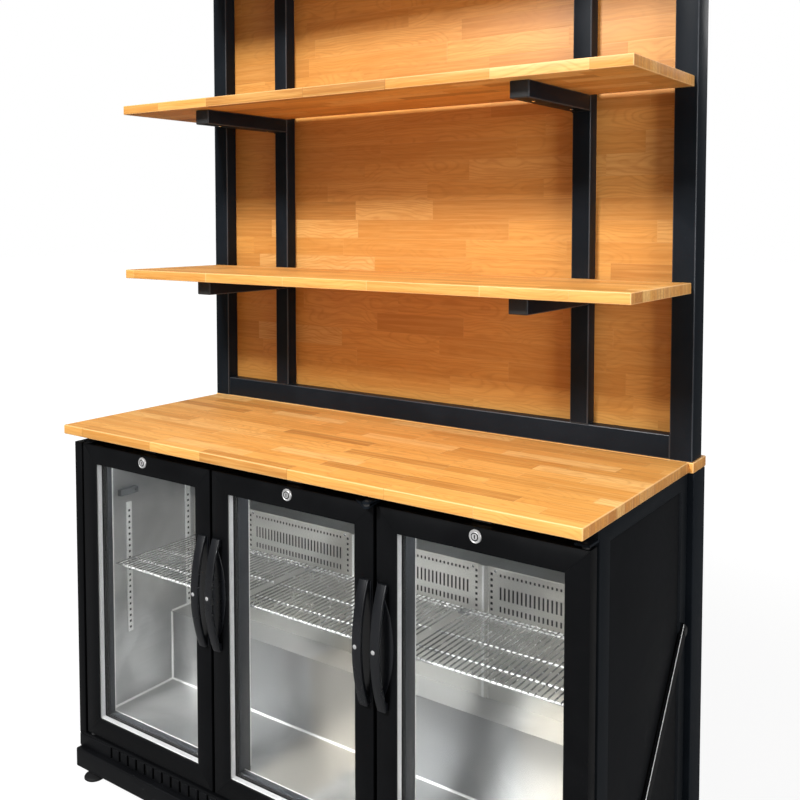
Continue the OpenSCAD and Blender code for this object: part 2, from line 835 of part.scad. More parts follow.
module wire_shelf(i) {
  left = i == 0 ? -inner_x + liner_t + 12 : gap_x[i - 1] + shelf_edge;
  right = i == 2 ? inner_x - liner_t - 12 : gap_x[i] - shelf_edge;
  w = right - left;
  count = floor((w - 4 * wire_r) / wire_pitch);
  first = left + (w - count * wire_pitch) / 2;
  rod_z = wire_shelf_h + rod_r;
  wire_z = wire_shelf_h + 2 * rod_r + wire_r - 0.6;
  rods = [wire_front + rod_r, pilaster_front_y + pilaster_w / 2, (wire_front + wire_back) / 2,
          pilaster_rear_y + pilaster_w / 2, wire_back - rod_r];
  for (k = [0:count]) bar_y([first + k * wire_pitch, wire_front, wire_z], wire_r, wire_back - wire_front, 6);
  for (y = rods) bar_x([left, y, rod_z], rod_r, w, 6);
}

module wire_shelves() {
  color(bright_steel) centred() for (i = [0:2]) wire_shelf(i);
}

// Clips under the shelf corners
module shelf_clips() {
  clip_h = 7;
  reach = 16;
  low = wire_shelf_h - touch - clip_h;
  top = wire_shelf_h - touch;
  side = inner_x - liner_t - pilaster_t;
  color(bright_steel) centred() {
    both_ends() for (y = [pilaster_front_y, pilaster_rear_y])
      block([side - reach, y + 1, low], [side, y + pilaster_w - 1, top]);
    for (x = gap_x) {
      block([x - reach, cab_y + mullion_d + pilaster_t, low], [x + reach, wire_front + 12, top]);
      block([x - reach, wire_back - 12, low], [x + reach, cover_y, top]);
    }
  }
}

module light_bar() {
  end = inner_x - 40;
  y = cab_y + mullion_d + 4;
  bar_d = 20;
  bar_h = 12;
  color("white") centred()
    block([-end, y, inner_top - liner_t - bar_h], [end, y + bar_d, inner_top - liner_t]);
}

probe_y = 126;
probe_drop = 128;
probe_size = [12, 54, 16];

// A slim holder on the left wall
module temperature_probe() {
  side = inner_x - liner_t;
  low = [probe_y, inner_top - probe_drop];
  thick = probe_size[0];
  long = probe_size[1];
  high = probe_size[2];
  color(dark_plastic) centred() difference() {
    block([-side, low[0], low[1]], [-side + thick, low[0] + long, low[1] + high]);
    bar_x([-side - 1, low[0] + long - high / 2, low[1] + high / 2], 2, thick + 2);
  }
}

// Cooling machine
fan_drop = 70;
fan_z = cover_top_h - fan_drop;
fan_y = cover_y + sheet_t + 10;
fan_depth = 18;
cond_fan_depth = 22;
fan_x = [for (i = [1:3]) (cover_x[i] + cover_x[i + 1]) / 2];
cond_x = 290;
cond_y = 424;
cond_z = plinth_top + 2 + cond_fan_r + 14;
shaft_r = 3;

// A fan wheel facing -Y, with a shaft bore
module fan_wheel(at, r, depth, blades) {
  hub_r = r * 0.36;
  translate(at) rotate([-90, 0, 0]) difference() {
    union() {
      cylinder(r = hub_r, h = depth);
      for (b = [0:blades - 1]) rotate([0, 0, b * 360 / blades])
        translate([hub_r * 0.8, -1, 2]) rotate([32, 0, 0]) cube([r - hub_r * 0.8 - 1.5, depth * 0.9, 1.6]);
    }
    translate([0, 0, depth - 12]) cylinder(r = shaft_r + run_gap, h = 20);
  }
}

module evaporator_fan(i) {
  color(dark_plastic) centred() fan_wheel([fan_x[i], fan_y, fan_z], fan_r, fan_depth, 5);
}

module condenser_fan() {
  color(dark_plastic) centred() fan_wheel([cond_x, cond_y, cond_z], cond_fan_r, cond_fan_depth, 5);
}

// A motor behind a wheel, held by two lugs to the wall behind it
module motor(at, depth, r, l, wall_y) {
  translate(at) {
    bar_y([0, depth - 11, 0], shaft_r, 13);
    bar_y([0, depth + 2, 0], r, l);
  }
  for (s = [-1, 1])
    translate([at[0] + s * (r - 4), 0, at[2]]) block([-3, at[1] + depth + 4, -8], [3, wall_y, 8]);
}

module fan_motors() {
  color(dark_plastic) centred() {
    for (x = fan_x) motor([x, fan_y, fan_z], fan_depth, 20, 24, inner_back);
    motor([cond_x, cond_y, cond_z], cond_fan_depth, 26, 26, cab_back - 3);
  }
}

module evaporator_coil() {
  side_gap = 60;
  half = inner_x - side_gap;
  fins = 20;
  tube_r = 5;
  tube_in = 18;
  low = step_h + 12;
  high = fan_z - fan_r - 14;
  y = [cover_y + sheet_t + 8, inner_back - 6];
  color(bright_steel) centred() {
    for (k = [0:fins - 1]) {
      x = -half + k * 2 * half / (fins - 1);
      block([x - 1, y[0], low], [x + 1, y[1], high]);
    }
    for (z = [low + 30, high - 30], yy = [y[0] + tube_in, y[1] - tube_in])
      bar_x([-half - 12, yy, z], tube_r, 2 * half + 24, 6);
    for (s = [-1, 1]) block([s * (half + 3) - 1.5, y[0], step_h], [s * (half + 3) + 1.5, y[1], high + 4]);
  }
}

module condenser_coil() {
  half = 130;
  fins = 14;
  y = [machine_y + 6, cond_y - 22];
  low = plinth_top + 2;
  high = step_under - 20;
  color(bright_steel) centred() {
    for (k = [0:fins - 1]) {
      x = cond_x - half + k * 2 * half / (fins - 1);
      block([x - 1, y[0], low], [x + 1, y[1], high]);
    }
    for (z = [low + 30, (low + high) / 2, high - 30], yy = [y[0] + 18, y[1] - 18])
      bar_x([cond_x - half - 10, yy, z], 5, 2 * half + 20, 6);
  }
}

module compressor() {
  r = 68;
  x = -330;
  y = (machine_y + cab_back) / 2;
  base = plinth_top + 2;
  dome_h = 150;
  color(dark_plastic) centred() translate([x, y, base]) {
    translate([0, 0, 14]) rotate_extrude() {
      square([r, dome_h - 40]);
      translate([0, dome_h - 40]) intersection() {
        scale([1, 0.6]) circle(r = r);
        square([r, r]);
      }
    }
    translate([-r - 12, -r + 6, 8]) cube([2 * r + 24, 2 * r - 12, 6.2]);
    for (sx = [-1, 1], sy = [-1, 1]) translate([sx * r, sy * (r - 18), 0]) cylinder(r = 9, h = 8.1);
  }
}

module control_box() {
  x = -160;
  y = machine_y + 20;
  base = plinth_top + 2;
  long = 180;
  high = 90;
  cable_r = 8;
  cable_in = 40;
  rear_gap = 40;
  color(dark_plastic) centred() {
    block([x, y, base], [x + long, cab_back - rear_gap, base + high]);
    bar_x([x + long, y + cable_in, base + high - 4 * cable_r], cable_r, 14);
  }
}

worktop_board();
rear_strip();
back_panel();
wood_shelves();
outer_posts();
inner_posts();
frame_rails();
shelf_arms();
rear_legs();
side_braces();
brace_bolts();
side_walls();
top_wall();
floor_wall();
back_wall();
step_walls();
liner_sheets();
door_posts();
sill_plate();
louvre_panel();
base_frame();
levelling_feet();
rear_grille();
hinge_brackets();
hinge_pins();
pivot_arms();
lock_keepers();
door_frame(0);  // door_frame_left
door_frame(1);  // door_frame_mid
door_frame(2);  // door_frame_right
door_glass(0);  // door_glass_left
door_glass(1);  // door_glass_mid
door_glass(2);  // door_glass_right
door_gasket(0);  // door_gasket_left
door_gasket(1);  // door_gasket_mid
door_gasket(2);  // door_gasket_right
door_handle(0);  // door_handle_left
door_handle(1);  // door_handle_mid
door_handle(2);  // door_handle_right
lock_housing(0);  // lock_housing_left
lock_housing(1);  // lock_housing_mid
lock_housing(2);  // lock_housing_right
lock_plug(0);  // lock_plug_left
lock_plug(1);  // lock_plug_mid
lock_plug(2);  // lock_plug_right
fan_panels();
pilasters();
wire_shelves();
shelf_clips();
light_bar();
temperature_probe();
evaporator_fan(0);  // evaporator_fan_left
evaporator_fan(1);  // evaporator_fan_mid
evaporator_fan(2);  // evaporator_fan_right
condenser_fan();
fan_motors();
evaporator_coil();
condenser_coil();
compressor();
control_box();
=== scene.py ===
"""Visual model of a refrigerated back bar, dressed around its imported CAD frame."""
import logging
import math
from dataclasses import dataclass, field
from enum import Enum
from typing import Callable, Optional, Sequence

import bmesh
import bpy
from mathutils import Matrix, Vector


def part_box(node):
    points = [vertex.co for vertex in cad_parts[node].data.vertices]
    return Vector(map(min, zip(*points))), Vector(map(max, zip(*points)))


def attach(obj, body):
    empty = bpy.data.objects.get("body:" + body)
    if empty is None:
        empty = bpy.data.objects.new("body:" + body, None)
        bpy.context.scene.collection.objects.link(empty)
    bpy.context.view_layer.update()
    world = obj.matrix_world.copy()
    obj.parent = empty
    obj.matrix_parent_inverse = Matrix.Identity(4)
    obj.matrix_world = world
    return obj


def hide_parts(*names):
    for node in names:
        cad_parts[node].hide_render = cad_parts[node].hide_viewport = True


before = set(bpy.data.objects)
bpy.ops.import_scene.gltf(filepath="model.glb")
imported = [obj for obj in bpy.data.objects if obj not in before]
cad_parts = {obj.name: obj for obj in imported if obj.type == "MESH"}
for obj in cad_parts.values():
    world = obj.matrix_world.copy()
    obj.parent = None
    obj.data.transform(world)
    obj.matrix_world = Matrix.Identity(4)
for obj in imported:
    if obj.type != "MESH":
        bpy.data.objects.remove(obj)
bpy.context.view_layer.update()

log = logging.getLogger("back_bar")

Node = bpy.types.Node
Socket = bpy.types.NodeSocket
NodeTree = bpy.types.NodeTree
Form = bmesh.types.BMesh
Point = tuple[float, float, float]
Pair = tuple[float, float]
Profile = Sequence[Pair]
Colour = tuple[float, float, float, float]
Box = tuple[Vector, Vector]

FRONT_EDGE = -0.29325  # the frame's y of the worktop's front edge
LAYERS = 5.0  # layers of boards in a metre of height, each with staves of its own
AXIS_R = 0.0001  # radius at which a turned profile closes on its axis
CREASE = 38.0  # angle in degrees above which a smooth skin keeps an edge


def depth_mm(depth: float) -> float:
    """Returns the frame's y of a depth in millimetres behind the worktop's front edge."""
    return depth / 1000 + FRONT_EDGE


class Axis(Enum):
    """The direction in which a form is drawn out."""

    X = 0
    Y = 1
    Z = 2

    def point(self, a: float, b: float, place: float) -> Vector:
        """Returns the point at a place along the axis, and at a and b along the other two."""
        return Vector({Axis.X: (place, a, b), Axis.Y: (a, place, b), Axis.Z: (a, b, place)}[self])


class Side(Enum):
    """On which side of its door a handle stands."""

    LEFT = 1
    RIGHT = -1


class BoardPlane(Enum):
    """The plane in which a board's staves lie."""

    LEVEL = "level"
    UPRIGHT = "upright"


# ---------------------------------------------------------------- shader trees


class Tree:
    """Short calls that build one shader or group tree."""

    def __init__(self, tree: NodeTree) -> None:
        """Keeps the tree and empties it."""
        self.tree = tree
        self.tree.nodes.clear()

    def add(self, kind: str, **values: object) -> Node:
        """Adds a node.

        Args:
            kind: Its type.
            values: Its properties by name.

        Returns:
            The node.
        """
        node = self.tree.nodes.new(kind)
        for name, value in values.items():
            setattr(node, name, value)
        return node

    def put(self, value: object, socket: Socket) -> None:
        """Links an output to a socket, or sets the socket to a plain value.

        Args:
            value: The output or value, or None to leave the socket as it is.
            socket: The socket.
        """
        if isinstance(value, Socket):
            self.tree.links.new(value, socket)
        elif value is not None:
            socket.default_value = value

    def fill(self, node: Node, **values: object) -> Node:
        """Fills a node's inputs.

        Args:
            node: The node.
            values: Outputs or values by the inputs' names, with underscores for spaces.

        Returns:
            The node.
        """
        for name, value in values.items():
            self.put(value, node.inputs[name.replace("_", " ")])
        return node

    def math(self, operation: str, a: object, b: object = None, clamp: bool = False) -> Socket:
        """Does one sum.

        Args:
            operation: What is done.
            a: First value.
            b: Second value, where the operation has one.
            clamp: True where the outcome is held between 0 and 1.

        Returns:
            The outcome.
        """
        node = self.add("ShaderNodeMath", operation=operation, use_clamp=clamp)
        self.put(a, node.inputs[0])
        self.put(b, node.inputs[1])
        return node.outputs[0]

    def plus(self, a: object, b: object) -> Socket:
        """Returns the sum of two values."""
        return self.math("ADD", a, b)

    def minus(self, a: object, b: object) -> Socket:
        """Returns the first value less the second."""
        return self.math("SUBTRACT", a, b)

    def times(self, a: object, b: object) -> Socket:
        """Returns the product of two values."""
        return self.math("MULTIPLY", a, b)

    def combine(self, x: object, y: object, z: object) -> Socket:
        """Returns a vector of three values."""
        return self.fill(self.add("ShaderNodeCombineXYZ"), X=x, Y=y, Z=z).outputs[0]

    def split(self, vector: Socket) -> Sequence[Socket]:
        """Returns the three values of a vector."""
        return self.fill(self.add("ShaderNodeSeparateXYZ"), Vector=vector).outputs

    def vector(self, operation: str, a: Socket, b: object = None) -> Node:
        """Does one sum with vectors.

        Args:
            operation: What is done.
            a: First vector.
            b: Second vector, where the operation has one.

        Returns:
            The node.
        """
        node = self.add("ShaderNodeVectorMath", operation=operation)
        self.put(a, node.inputs[0])
        self.put(b, node.inputs[1])
        return node

    def noise(self, vector: Socket, scale: object, detail: float, rough: float = 0.5, bend: float = 0.0) -> Socket:
        """Adds a noise from 0 to 1.

        Args:
            vector: Where it is read.
            scale: How fine it is.
            detail: How many finer layers it has.
            rough: How strong these are.
            bend: How far it is distorted.

        Returns:
            The noise.
        """
        node = self.add("ShaderNodeTexNoise", noise_dimensions="3D")
        self.fill(node, Vector=vector, Scale=scale, Detail=detail, Roughness=rough, Distortion=bend)
        return node.outputs["Fac"]

    def chance(self, vector: Socket) -> Node:
        """Returns the node of a random value and colour for each vector."""
        return self.fill(self.add("ShaderNodeTexWhiteNoise", noise_dimensions="3D"), Vector=vector)

    def span(self, value: Socket, low: float, high: float, start: object = 0.0, end: object = 1.0,
             smooth: bool = False) -> Socket:
        """Moves a value from one range to another and holds it at its ends.

        Args:
            value: The value.
            low: Start of its range.
            high: End of its range.
            start: Outcome at the start.
            end: Outcome at the end.
            smooth: True where the change is eased in and out.

        Returns:
            The outcome.
        """
        node = self.add("ShaderNodeMapRange", interpolation_type="SMOOTHSTEP" if smooth else "LINEAR")
        return self.fill(node, Value=value, From_Min=low, From_Max=high, To_Min=start, To_Max=end).outputs[0]

    def mix(self, share: object, a: object, b: object) -> Socket:
        """Mixes two colours.

        Args:
            share: Share of the second one.
            a: First colour.
            b: Second colour.

        Returns:
            The mixed colour.
        """
        node = self.add("ShaderNodeMix", data_type="RGBA", clamp_result=True)
        for value, place in ((share, 0), (a, 6), (b, 7)):
            self.put(value, node.inputs[place])
        return node.outputs[2]

    def ramp(self, value: Socket, stops: Sequence[tuple[float, Colour]]) -> Socket:
        """Picks a colour from a row of stops.

        Args:
            value: Where in the row.
            stops: Place and colour of each stop.

        Returns:
            The colour.
        """
        node = self.add("ShaderNodeValToRGB")
        band = node.color_ramp.elements
        band[0].position, band[0].color = stops[0]
        band[1].position, band[1].color = stops[-1]
        for place, colour in stops[1:-1]:
            band.new(place).color = colour
        self.put(value, node.inputs[0])
        return node.outputs[0]

    def group(self, name: str, **values: object) -> Sequence[Socket]:
        """Returns the outputs of a shared node group, after its inputs are filled by name."""
        return self.fill(self.add("ShaderNodeGroup", node_tree=shared(name)), **values).outputs

    def principled(self, **values: object) -> Socket:
        """Returns the main shader, after its inputs are filled by name."""
        return self.fill(self.add("ShaderNodeBsdfPrincipled"), **values).outputs[0]

    def place(self) -> Socket:
        """Returns the surface point in the piece's own frame."""
        return self.add("ShaderNodeTexCoord").outputs["Object"]

    def bump(self, height: Socket, distance: float) -> Socket:
        """Returns a normal that a height has bent."""
        return self.fill(self.add("ShaderNodeBump"), Distance=distance, Height=height).outputs[0]


def new_group(name: str, inputs: dict[str, Optional[float]], *outputs: str) -> tuple[Tree, Sequence[Socket], Node]:
    """Makes an empty node group with named inputs, and outputs that are numbers.

    Args:
        name: Name of the group.
        inputs: Name of each input with its default: a number, or None for a vector.
        outputs: Name of each output.

    Returns:
        The group's tree, the sockets that give its inputs, and its output node.
    """
    group = bpy.data.node_groups.new(name, "ShaderNodeTree")
    for label, default in inputs.items():
        kind = "NodeSocketVector" if default is None else "NodeSocketFloat"
        socket = group.interface.new_socket(name=label, in_out="INPUT", socket_type=kind)
        if default is not None:
            socket.default_value = default
    for label in outputs:
        group.interface.new_socket(name=label, in_out="OUTPUT", socket_type="NodeSocketFloat")
    tree = Tree(group)
    return tree, tree.add("NodeGroupInput").outputs, tree.add("NodeGroupOutput")


def stave_group() -> NodeTree:
    """Builds the pattern of a butcher block: staves, their end joints, growth rings and fibre.

    Returns:
        The node group.
    """
    tree, given, out = new_group(
        "ButcherBlock", {"Along": 0.0, "Across": 0.0, "Depth": 0.0, "Width": 0.04, "Length": 0.3, "Seed": 0.0},
        "Tone", "Tint", "Rings", "Fibre", "Figure", "Joint")
    along, across, depth, width, length, seed = given[:6]
    joint_start, joint_end = 0.0003, 0.0014  # metres from the stave's edge
    ring_density, ring_waver, ring_contrast = 1500.0, 1.6, 3.6

    def around(value: Socket, size: float) -> Socket:
        """Returns a value from 0 to 1 moved and scaled to lie round 0."""
        return tree.times(tree.minus(value, 0.5), size)

    def edge(part: Socket, size: Socket) -> Socket:
        """Returns how far a point lies from the nearer end of its stave."""
        return tree.times(tree.math("MINIMUM", part, tree.minus(1.0, part)), size)

    rows = tree.math("DIVIDE", across, width)
    row, row_part = tree.math("FLOOR", rows), tree.math("FRACT", rows)
    start = tree.times(tree.chance(tree.combine(row, seed, 3.7)).outputs["Value"], 17.3)
    run = tree.plus(tree.math("DIVIDE", along, length), start)
    sway = tree.noise(tree.combine(tree.times(run, 0.8), tree.times(row, 7.7), seed), 1.0, 0.0)
    run = tree.plus(run, around(sway, 1.1))
    cell, cell_part = tree.math("FLOOR", run), tree.math("FRACT", run)
    pick = tree.chance(tree.combine(row, cell, seed)).outputs
    _, tint, twist = tree.fill(tree.add("ShaderNodeSeparateColor"), Color=pick["Color"]).outputs
    tone = pick["Value"]
    near = tree.math("MINIMUM", edge(row_part, width), edge(cell_part, length))
    joint = tree.span(near, joint_start, joint_end, 1.0, 0.0, smooth=True)

    shift = tree.times(tone, 43.0)

    def streaks(long: float, cross: float, *grain: float) -> Socket:
        """Returns a noise with its own scale along and across the staves, other in each stave."""
        lift = tree.plus(tree.times(depth, cross), shift)
        return tree.noise(tree.combine(tree.times(along, long), tree.times(across, cross), lift), 1.0, *grain)

    wave = around(streaks(5.0, 9.0, 2.0, 0.55), 0.075)
    side = tree.plus(tree.minus(tree.times(row_part, width), tree.times(width, 0.5)), around(tint, 0.07))
    slope = tree.times(along, around(twist, 0.12))
    level = tree.plus(tree.plus(depth, slope), tree.plus(wave, 0.012))
    level = tree.minus(level, tree.times(tree.math("FLOOR", tree.times(depth, LAYERS)), 1 / LAYERS))
    oval = tree.times(tree.math("POWER", level, 2.0), 0.5)
    radius = tree.math("SQRT", tree.plus(tree.math("POWER", side, 2.0), oval))
    fibre = streaks(5.0, 170.0, 3.0, 0.66)
    phase = tree.plus(tree.times(radius, ring_density), tree.times(fibre, ring_waver))
    rings = tree.math("POWER", tree.span(tree.math("SINE", phase), -1.0, 1.0), ring_contrast)
    figure = streaks(9.0, 110.0, 4.0, 0.62, 0.5)
    tree.fill(out, Tone=tone, Tint=tint, Rings=rings, Fibre=fibre, Figure=figure, Joint=joint)
    return tree.tree


def handled_group() -> NodeTree:
    """Builds what handling leaves on a coated face: soft smudges, a fine skin and a little dust.

    Returns:
        The node group.
    """
    tree, given, out = new_group(
        "HandledFace", {"Point": None, "Skin Scale": 1400.0, "Smudge Scale": 7.0, "Seed": 0.0},
        "Smudge", "Skin", "Dust")
    point = tree.vector("ADD", given["Point"], tree.combine(given["Seed"], 0.0, 0.0)).outputs[0]
    smudge = tree.span(tree.noise(point, given["Smudge Scale"], 4.0, 0.55, 0.6), 0.32, 0.72, smooth=True)
    skin = tree.noise(point, given["Skin Scale"], 2.0)
    specks = tree.span(tree.noise(point, 420.0, 1.0, 0.4), 0.66, 0.8, smooth=True)
    tree.fill(out, Smudge=smudge, Skin=skin, Dust=tree.times(specks, smudge))
    return tree.tree


def brushed_group() -> NodeTree:
    """Builds the face of a brushed sheet: its lines and soft clouds, painted reflections in broad upright bands
    that darken towards the top, and a warm painted shade over the bright bands on the middle and right.

    Returns:
        The node group.
    """
    tree, given, out = new_group(
        "BrushedFace", {"Point": None, "Across Scale": 900.0, "Along Scale": 6.0, "Cloud Scale": 5.0},
        "Lines", "Cloud", "Bands", "Warmth")
    point = given["Point"]
    x, y, z = tree.split(point)
    far, fine = given["Along Scale"], given["Across Scale"]
    lines = tree.noise(tree.combine(tree.times(x, far), tree.times(y, far), tree.times(z, fine)), 1.0, 3.0, 0.6)
    cloud = tree.noise(point, given["Cloud Scale"], 3.0, 0.5, 0.5)
    wide = tree.noise(tree.vector("MULTIPLY", point, (3.4, 3.4, 0.5)).outputs[0], 1.0, 2.0, 0.45, 0.3)
    # Painted reflections: upright bands of light and dark across the bays, darker towards the top.
    wave = tree.math("COSINE", tree.times(tree.minus(x, 0.212), 11.466))
    reflection_bands = tree.span(tree.plus(wave, tree.times(wide, 1.2)), 1.5, -0.4, smooth=True)
    # Warm painted shade: a darker, warmer tint over the bright bands of the middle and right bays.
    warm_shade = tree.times(tree.span(reflection_bands, 0.7, 1.0, smooth=True), tree.span(x, -0.32, -0.1, smooth=True))
    reflection_bands = tree.times(reflection_bands, tree.span(z, 0.42, 0.80, 1.0, 0.40, smooth=True))
    tree.fill(out, Lines=lines, Cloud=cloud, Bands=reflection_bands, Warmth=warm_shade)
    return tree.tree


GROUPS: dict[str, Callable[[], NodeTree]] = {
    "ButcherBlock": stave_group, "HandledFace": handled_group, "BrushedFace": brushed_group}


def shared(name: str) -> NodeTree:
    """Returns a shared node group, built at its first use."""
    return bpy.data.node_groups.get(name) or GROUPS[name]()


# ---------------------------------------------------------------- finishes


@dataclass(frozen=True)
class Finish:
    """A finish: its material is built once, at its first use."""

    name: str

    def material(self) -> bpy.types.Material:
        """Finds the finish's material, or makes it.

        Returns:
            The material.
        """
        made = bpy.data.materials.get(self.name)
        if not made:
            made = bpy.data.materials.new(self.name)
            made.use_nodes = True
            tree = Tree(made.node_tree)
            tree.fill(tree.add("ShaderNodeOutputMaterial"), Surface=self.surface(tree))
        return made

    def surface(self, tree: Tree) -> Socket:
        """Builds the shader in a tree and returns its output."""
        raise NotImplementedError


@dataclass(frozen=True)
class Coated(Finish):
    """Powder coat, moulded plastic or rubber: a dark skin with fine texture and smudges."""

    deep: Point = (0.0042, 0.0045, 0.005)
    pale: Point = (0.0062, 0.0066, 0.0074)
    rough: Pair = (0.42, 0.55)
    skin_scale: float = 1400.0
    skin_depth: float = 0.00006
    shine: float = 0.22
    seed: float = 0.0
    dust: float = 0.25

    def surface(self, tree: Tree) -> Socket:
        """Builds the coat.

        Args:
            tree: The material's tree.

        Returns:
            The shader.
        """
        mark = tree.group("HandledFace", Point=tree.place(), Skin_Scale=self.skin_scale, Seed=self.seed)
        grey = tuple(min(1.0, v * 3 + 0.008) for v in self.pale)
        clean = tree.mix(mark["Smudge"], (*self.deep, 1), (*self.pale, 1))
        colour = tree.mix(tree.times(mark["Dust"], self.dust), clean, (*grey, 1))
        rough = tree.span(mark["Smudge"], 0.0, 1.0, *self.rough)
        return tree.principled(Base_Color=colour, Roughness=rough, Specular_IOR_Level=self.shine,
                               Normal=tree.bump(mark["Skin"], self.skin_depth))


@dataclass(frozen=True)
class Timber:
    """The colours of oiled wood."""

    staves: tuple[tuple[float, Colour], ...] = (
        (0.0, (0.42, 0.165, 0.030, 1)), (0.16, (0.66, 0.285, 0.052, 1)), (0.5, (0.84, 0.400, 0.086, 1)),
        (0.84, (0.95, 0.490, 0.125, 1)), (1.0, (1.0, 0.66, 0.26, 1)))
    warm: Colour = (0.84, 0.335, 0.048, 1)
    ring: Colour = (0.52, 0.19, 0.026, 1)
    figure: Colour = (0.60, 0.235, 0.036, 1)
    fibre: Colour = (0.97, 0.56, 0.17, 1)
    fleck: Colour = (0.30, 0.110, 0.022, 1)
    end: Colour = (0.50, 0.185, 0.055, 1)
    # The lift colour, mixed in by the pale share, paints light: highlights on eased edges and a little light on
    # the level boards. The next colour darkens the upright panel as painted shade.
    lift: Colour = (1.0, 0.60, 0.255, 1)
    tan: Colour = (0.51, 0.232, 0.058, 1)
    # The dark joint colour is the joints' own; the pale one is a painted highlight along stave edges.
    dark_joint: Colour = (0.34, 0.12, 0.02, 1)
    joint_highlight: Colour = (1.0, 0.70, 0.32, 1)


@dataclass(frozen=True)
class Boards(Finish):
    """Oiled butcher block."""

    plane: BoardPlane = BoardPlane.LEVEL
    width: float = 0.04
    length: float = 0.26
    seed: float = 1.0
    contrast: float = 1.0
    # pale is a share of painted light; the next share darkens towards brown as painted shade.
    pale: float = 0.0
    tan: float = 0.0
    line: float = 0.55
    timber: Timber = Timber()

    def pattern(self, tree: Tree) -> Sequence[Socket]:
        """Lays the staves on the board. Boards that lie in other layers of height have staves of their own.

        Args:
            tree: The material's tree.

        Returns:
            The outputs of the stave pattern.
        """
        x, y, z = tree.split(tree.place())
        level = self.plane is BoardPlane.LEVEL
        across, depth = (y, z) if level else (z, y)
        seed = tree.plus(tree.math("FLOOR", tree.times(z, LAYERS)), self.seed) if level else self.seed
        return tree.group("ButcherBlock", Along=x, Across=tree.plus(across, 3.0), Depth=depth, Width=self.width,
                          Length=self.length, Seed=seed)

    def end_grain(self, tree: Tree) -> Socket:
        """Marks the end faces of the staves.

        Args:
            tree: The material's tree.

        Returns:
            The share of the end grain's colour.
        """
        stripe = tree.noise(tree.vector("MULTIPLY", tree.place(), (4.0, 150.0, 14.0)).outputs[0], 1.0, 2.0, 0.6)
        facing = tree.split(tree.add("ShaderNodeTexCoord").outputs["Normal"])
        end = tree.span(tree.math("ABSOLUTE", facing[0]), 0.6, 0.9, smooth=True)
        return tree.times(end, tree.span(stripe, 0.35, 0.65, 0.15, 0.7, smooth=True))

    def surface(self, tree: Tree) -> Socket:
        """Builds the wood.

        Args:
            tree: The material's tree.

        Returns:
            The shader.
        """
        wood, hue = self.pattern(tree), self.timber
        figure, fibre, joint = wood["Figure"], wood["Fibre"], wood["Joint"]
        colour = tree.ramp(tree.span(wood["Tone"], 0.0, 1.0), hue.staves)
        # The pale mix is painted light, and the last mix darkens towards brown as painted shade.
        for share, tint in (
                (tree.times(wood["Tint"], 0.22), hue.warm),
                (tree.times(wood["Rings"], 0.30 * self.contrast), hue.ring),
                (tree.span(figure, 0.36, 0.7, 0.0, 0.42 * self.contrast, smooth=True), hue.figure),
                (tree.span(fibre, 0.44, 0.66, 0.0, 0.42), hue.fibre),
                (tree.span(figure, 0.69, 0.77, 0.0, 0.55, smooth=True), hue.fleck),
                (self.end_grain(tree), hue.end), (self.pale, hue.lift), (self.tan, hue.tan)):
            colour = tree.mix(share, colour, tint)
        # Half the staves get pale joint lines, a painted highlight; the rest get dark joints.
        line = tree.mix(tree.span(wood["Tint"], 0.45, 0.55), hue.dark_joint, hue.joint_highlight)
        colour = tree.mix(tree.times(joint, self.line), colour, line)
        height = tree.minus(tree.times(fibre, 0.3), tree.plus(joint, tree.times(wood["Rings"], 0.2)))
        return tree.principled(Base_Color=colour, Roughness=tree.span(fibre, 0.0, 1.0, 0.40, 0.52),
                               Specular_IOR_Level=0.38, Normal=tree.bump(height, 0.00012))


@dataclass(frozen=True)
class SheetMetal(Finish):
    """Brushed bright sheet, which can carry painted reflection bands and a warm painted shade."""

    bright: Point = (0.74, 0.73, 0.705)
    dull: Point = (0.60, 0.59, 0.57)
    rough: Pair = (0.26, 0.40)
    line_depth: float = 0.00003
    metallic: float = 1.0
    # Share of the painted reflection bands, and of the warm painted shade with its colour cast.
    reflection_bands: float = 0.0
    warm_shade: float = 0.0
    warm_shade_cast: Point = (0.70, 0.665, 0.61)

    def surface(self, tree: Tree) -> Socket:
        """Builds the sheet.

        Args:
            tree: The material's tree.

        Returns:
            The shader.
        """
        face = tree.group("BrushedFace", Point=tree.place())
        cloud = tree.span(face["Cloud"], 0.3, 0.7, smooth=True)
        share = tree.plus(tree.times(cloud, 0.6), tree.times(face["Lines"], 0.4))
        # The painted reflection bands darken the sheet between their bright parts.
        share = tree.times(share, tree.span(face["Bands"], 0.0, 1.0, 1.0 - self.reflection_bands, 1.0))
        # The warm painted shade is the bright colour darkened and warmed.
        warm = tuple(v * k for v, k in zip(self.bright, self.warm_shade_cast))
        even = tree.mix(share, (*self.dull, 1), (*self.bright, 1))
        colour = tree.mix(tree.times(face["Warmth"], self.warm_shade), even, (*warm, 1))
        rough = tree.span(face["Lines"], 0.2, 0.8, *self.rough)
        return tree.principled(Base_Color=colour, Roughness=rough, Metallic=self.metallic,
                               Normal=tree.bump(face["Lines"], self.line_depth))


@dataclass(frozen=True)
class Plated(Finish):
    """Polished plating with faint handling marks."""

    colour: Point = (0.80, 0.80, 0.81)
    rough: Pair = (0.10, 0.22)
    metallic: float = 1.0
    dimmed: float = 0.86

    def surface(self, tree: Tree) -> Socket:
        """Builds the plating.

        Args:
            tree: The material's tree.

        Returns:
            The shader.
        """
        mark = tree.group("HandledFace", Point=tree.place(), Skin_Scale=900.0, Smudge_Scale=40.0)
        dim = tuple(self.dimmed * v for v in self.colour)
        colour = tree.mix(mark["Smudge"], (*self.colour, 1), (*dim, 1))
        rough = tree.span(mark["Smudge"], 0.0, 1.0, *self.rough)
        return tree.principled(Base_Color=colour, Roughness=rough, Metallic=self.metallic,
                               Normal=tree.bump(mark["Skin"], 0.00001))


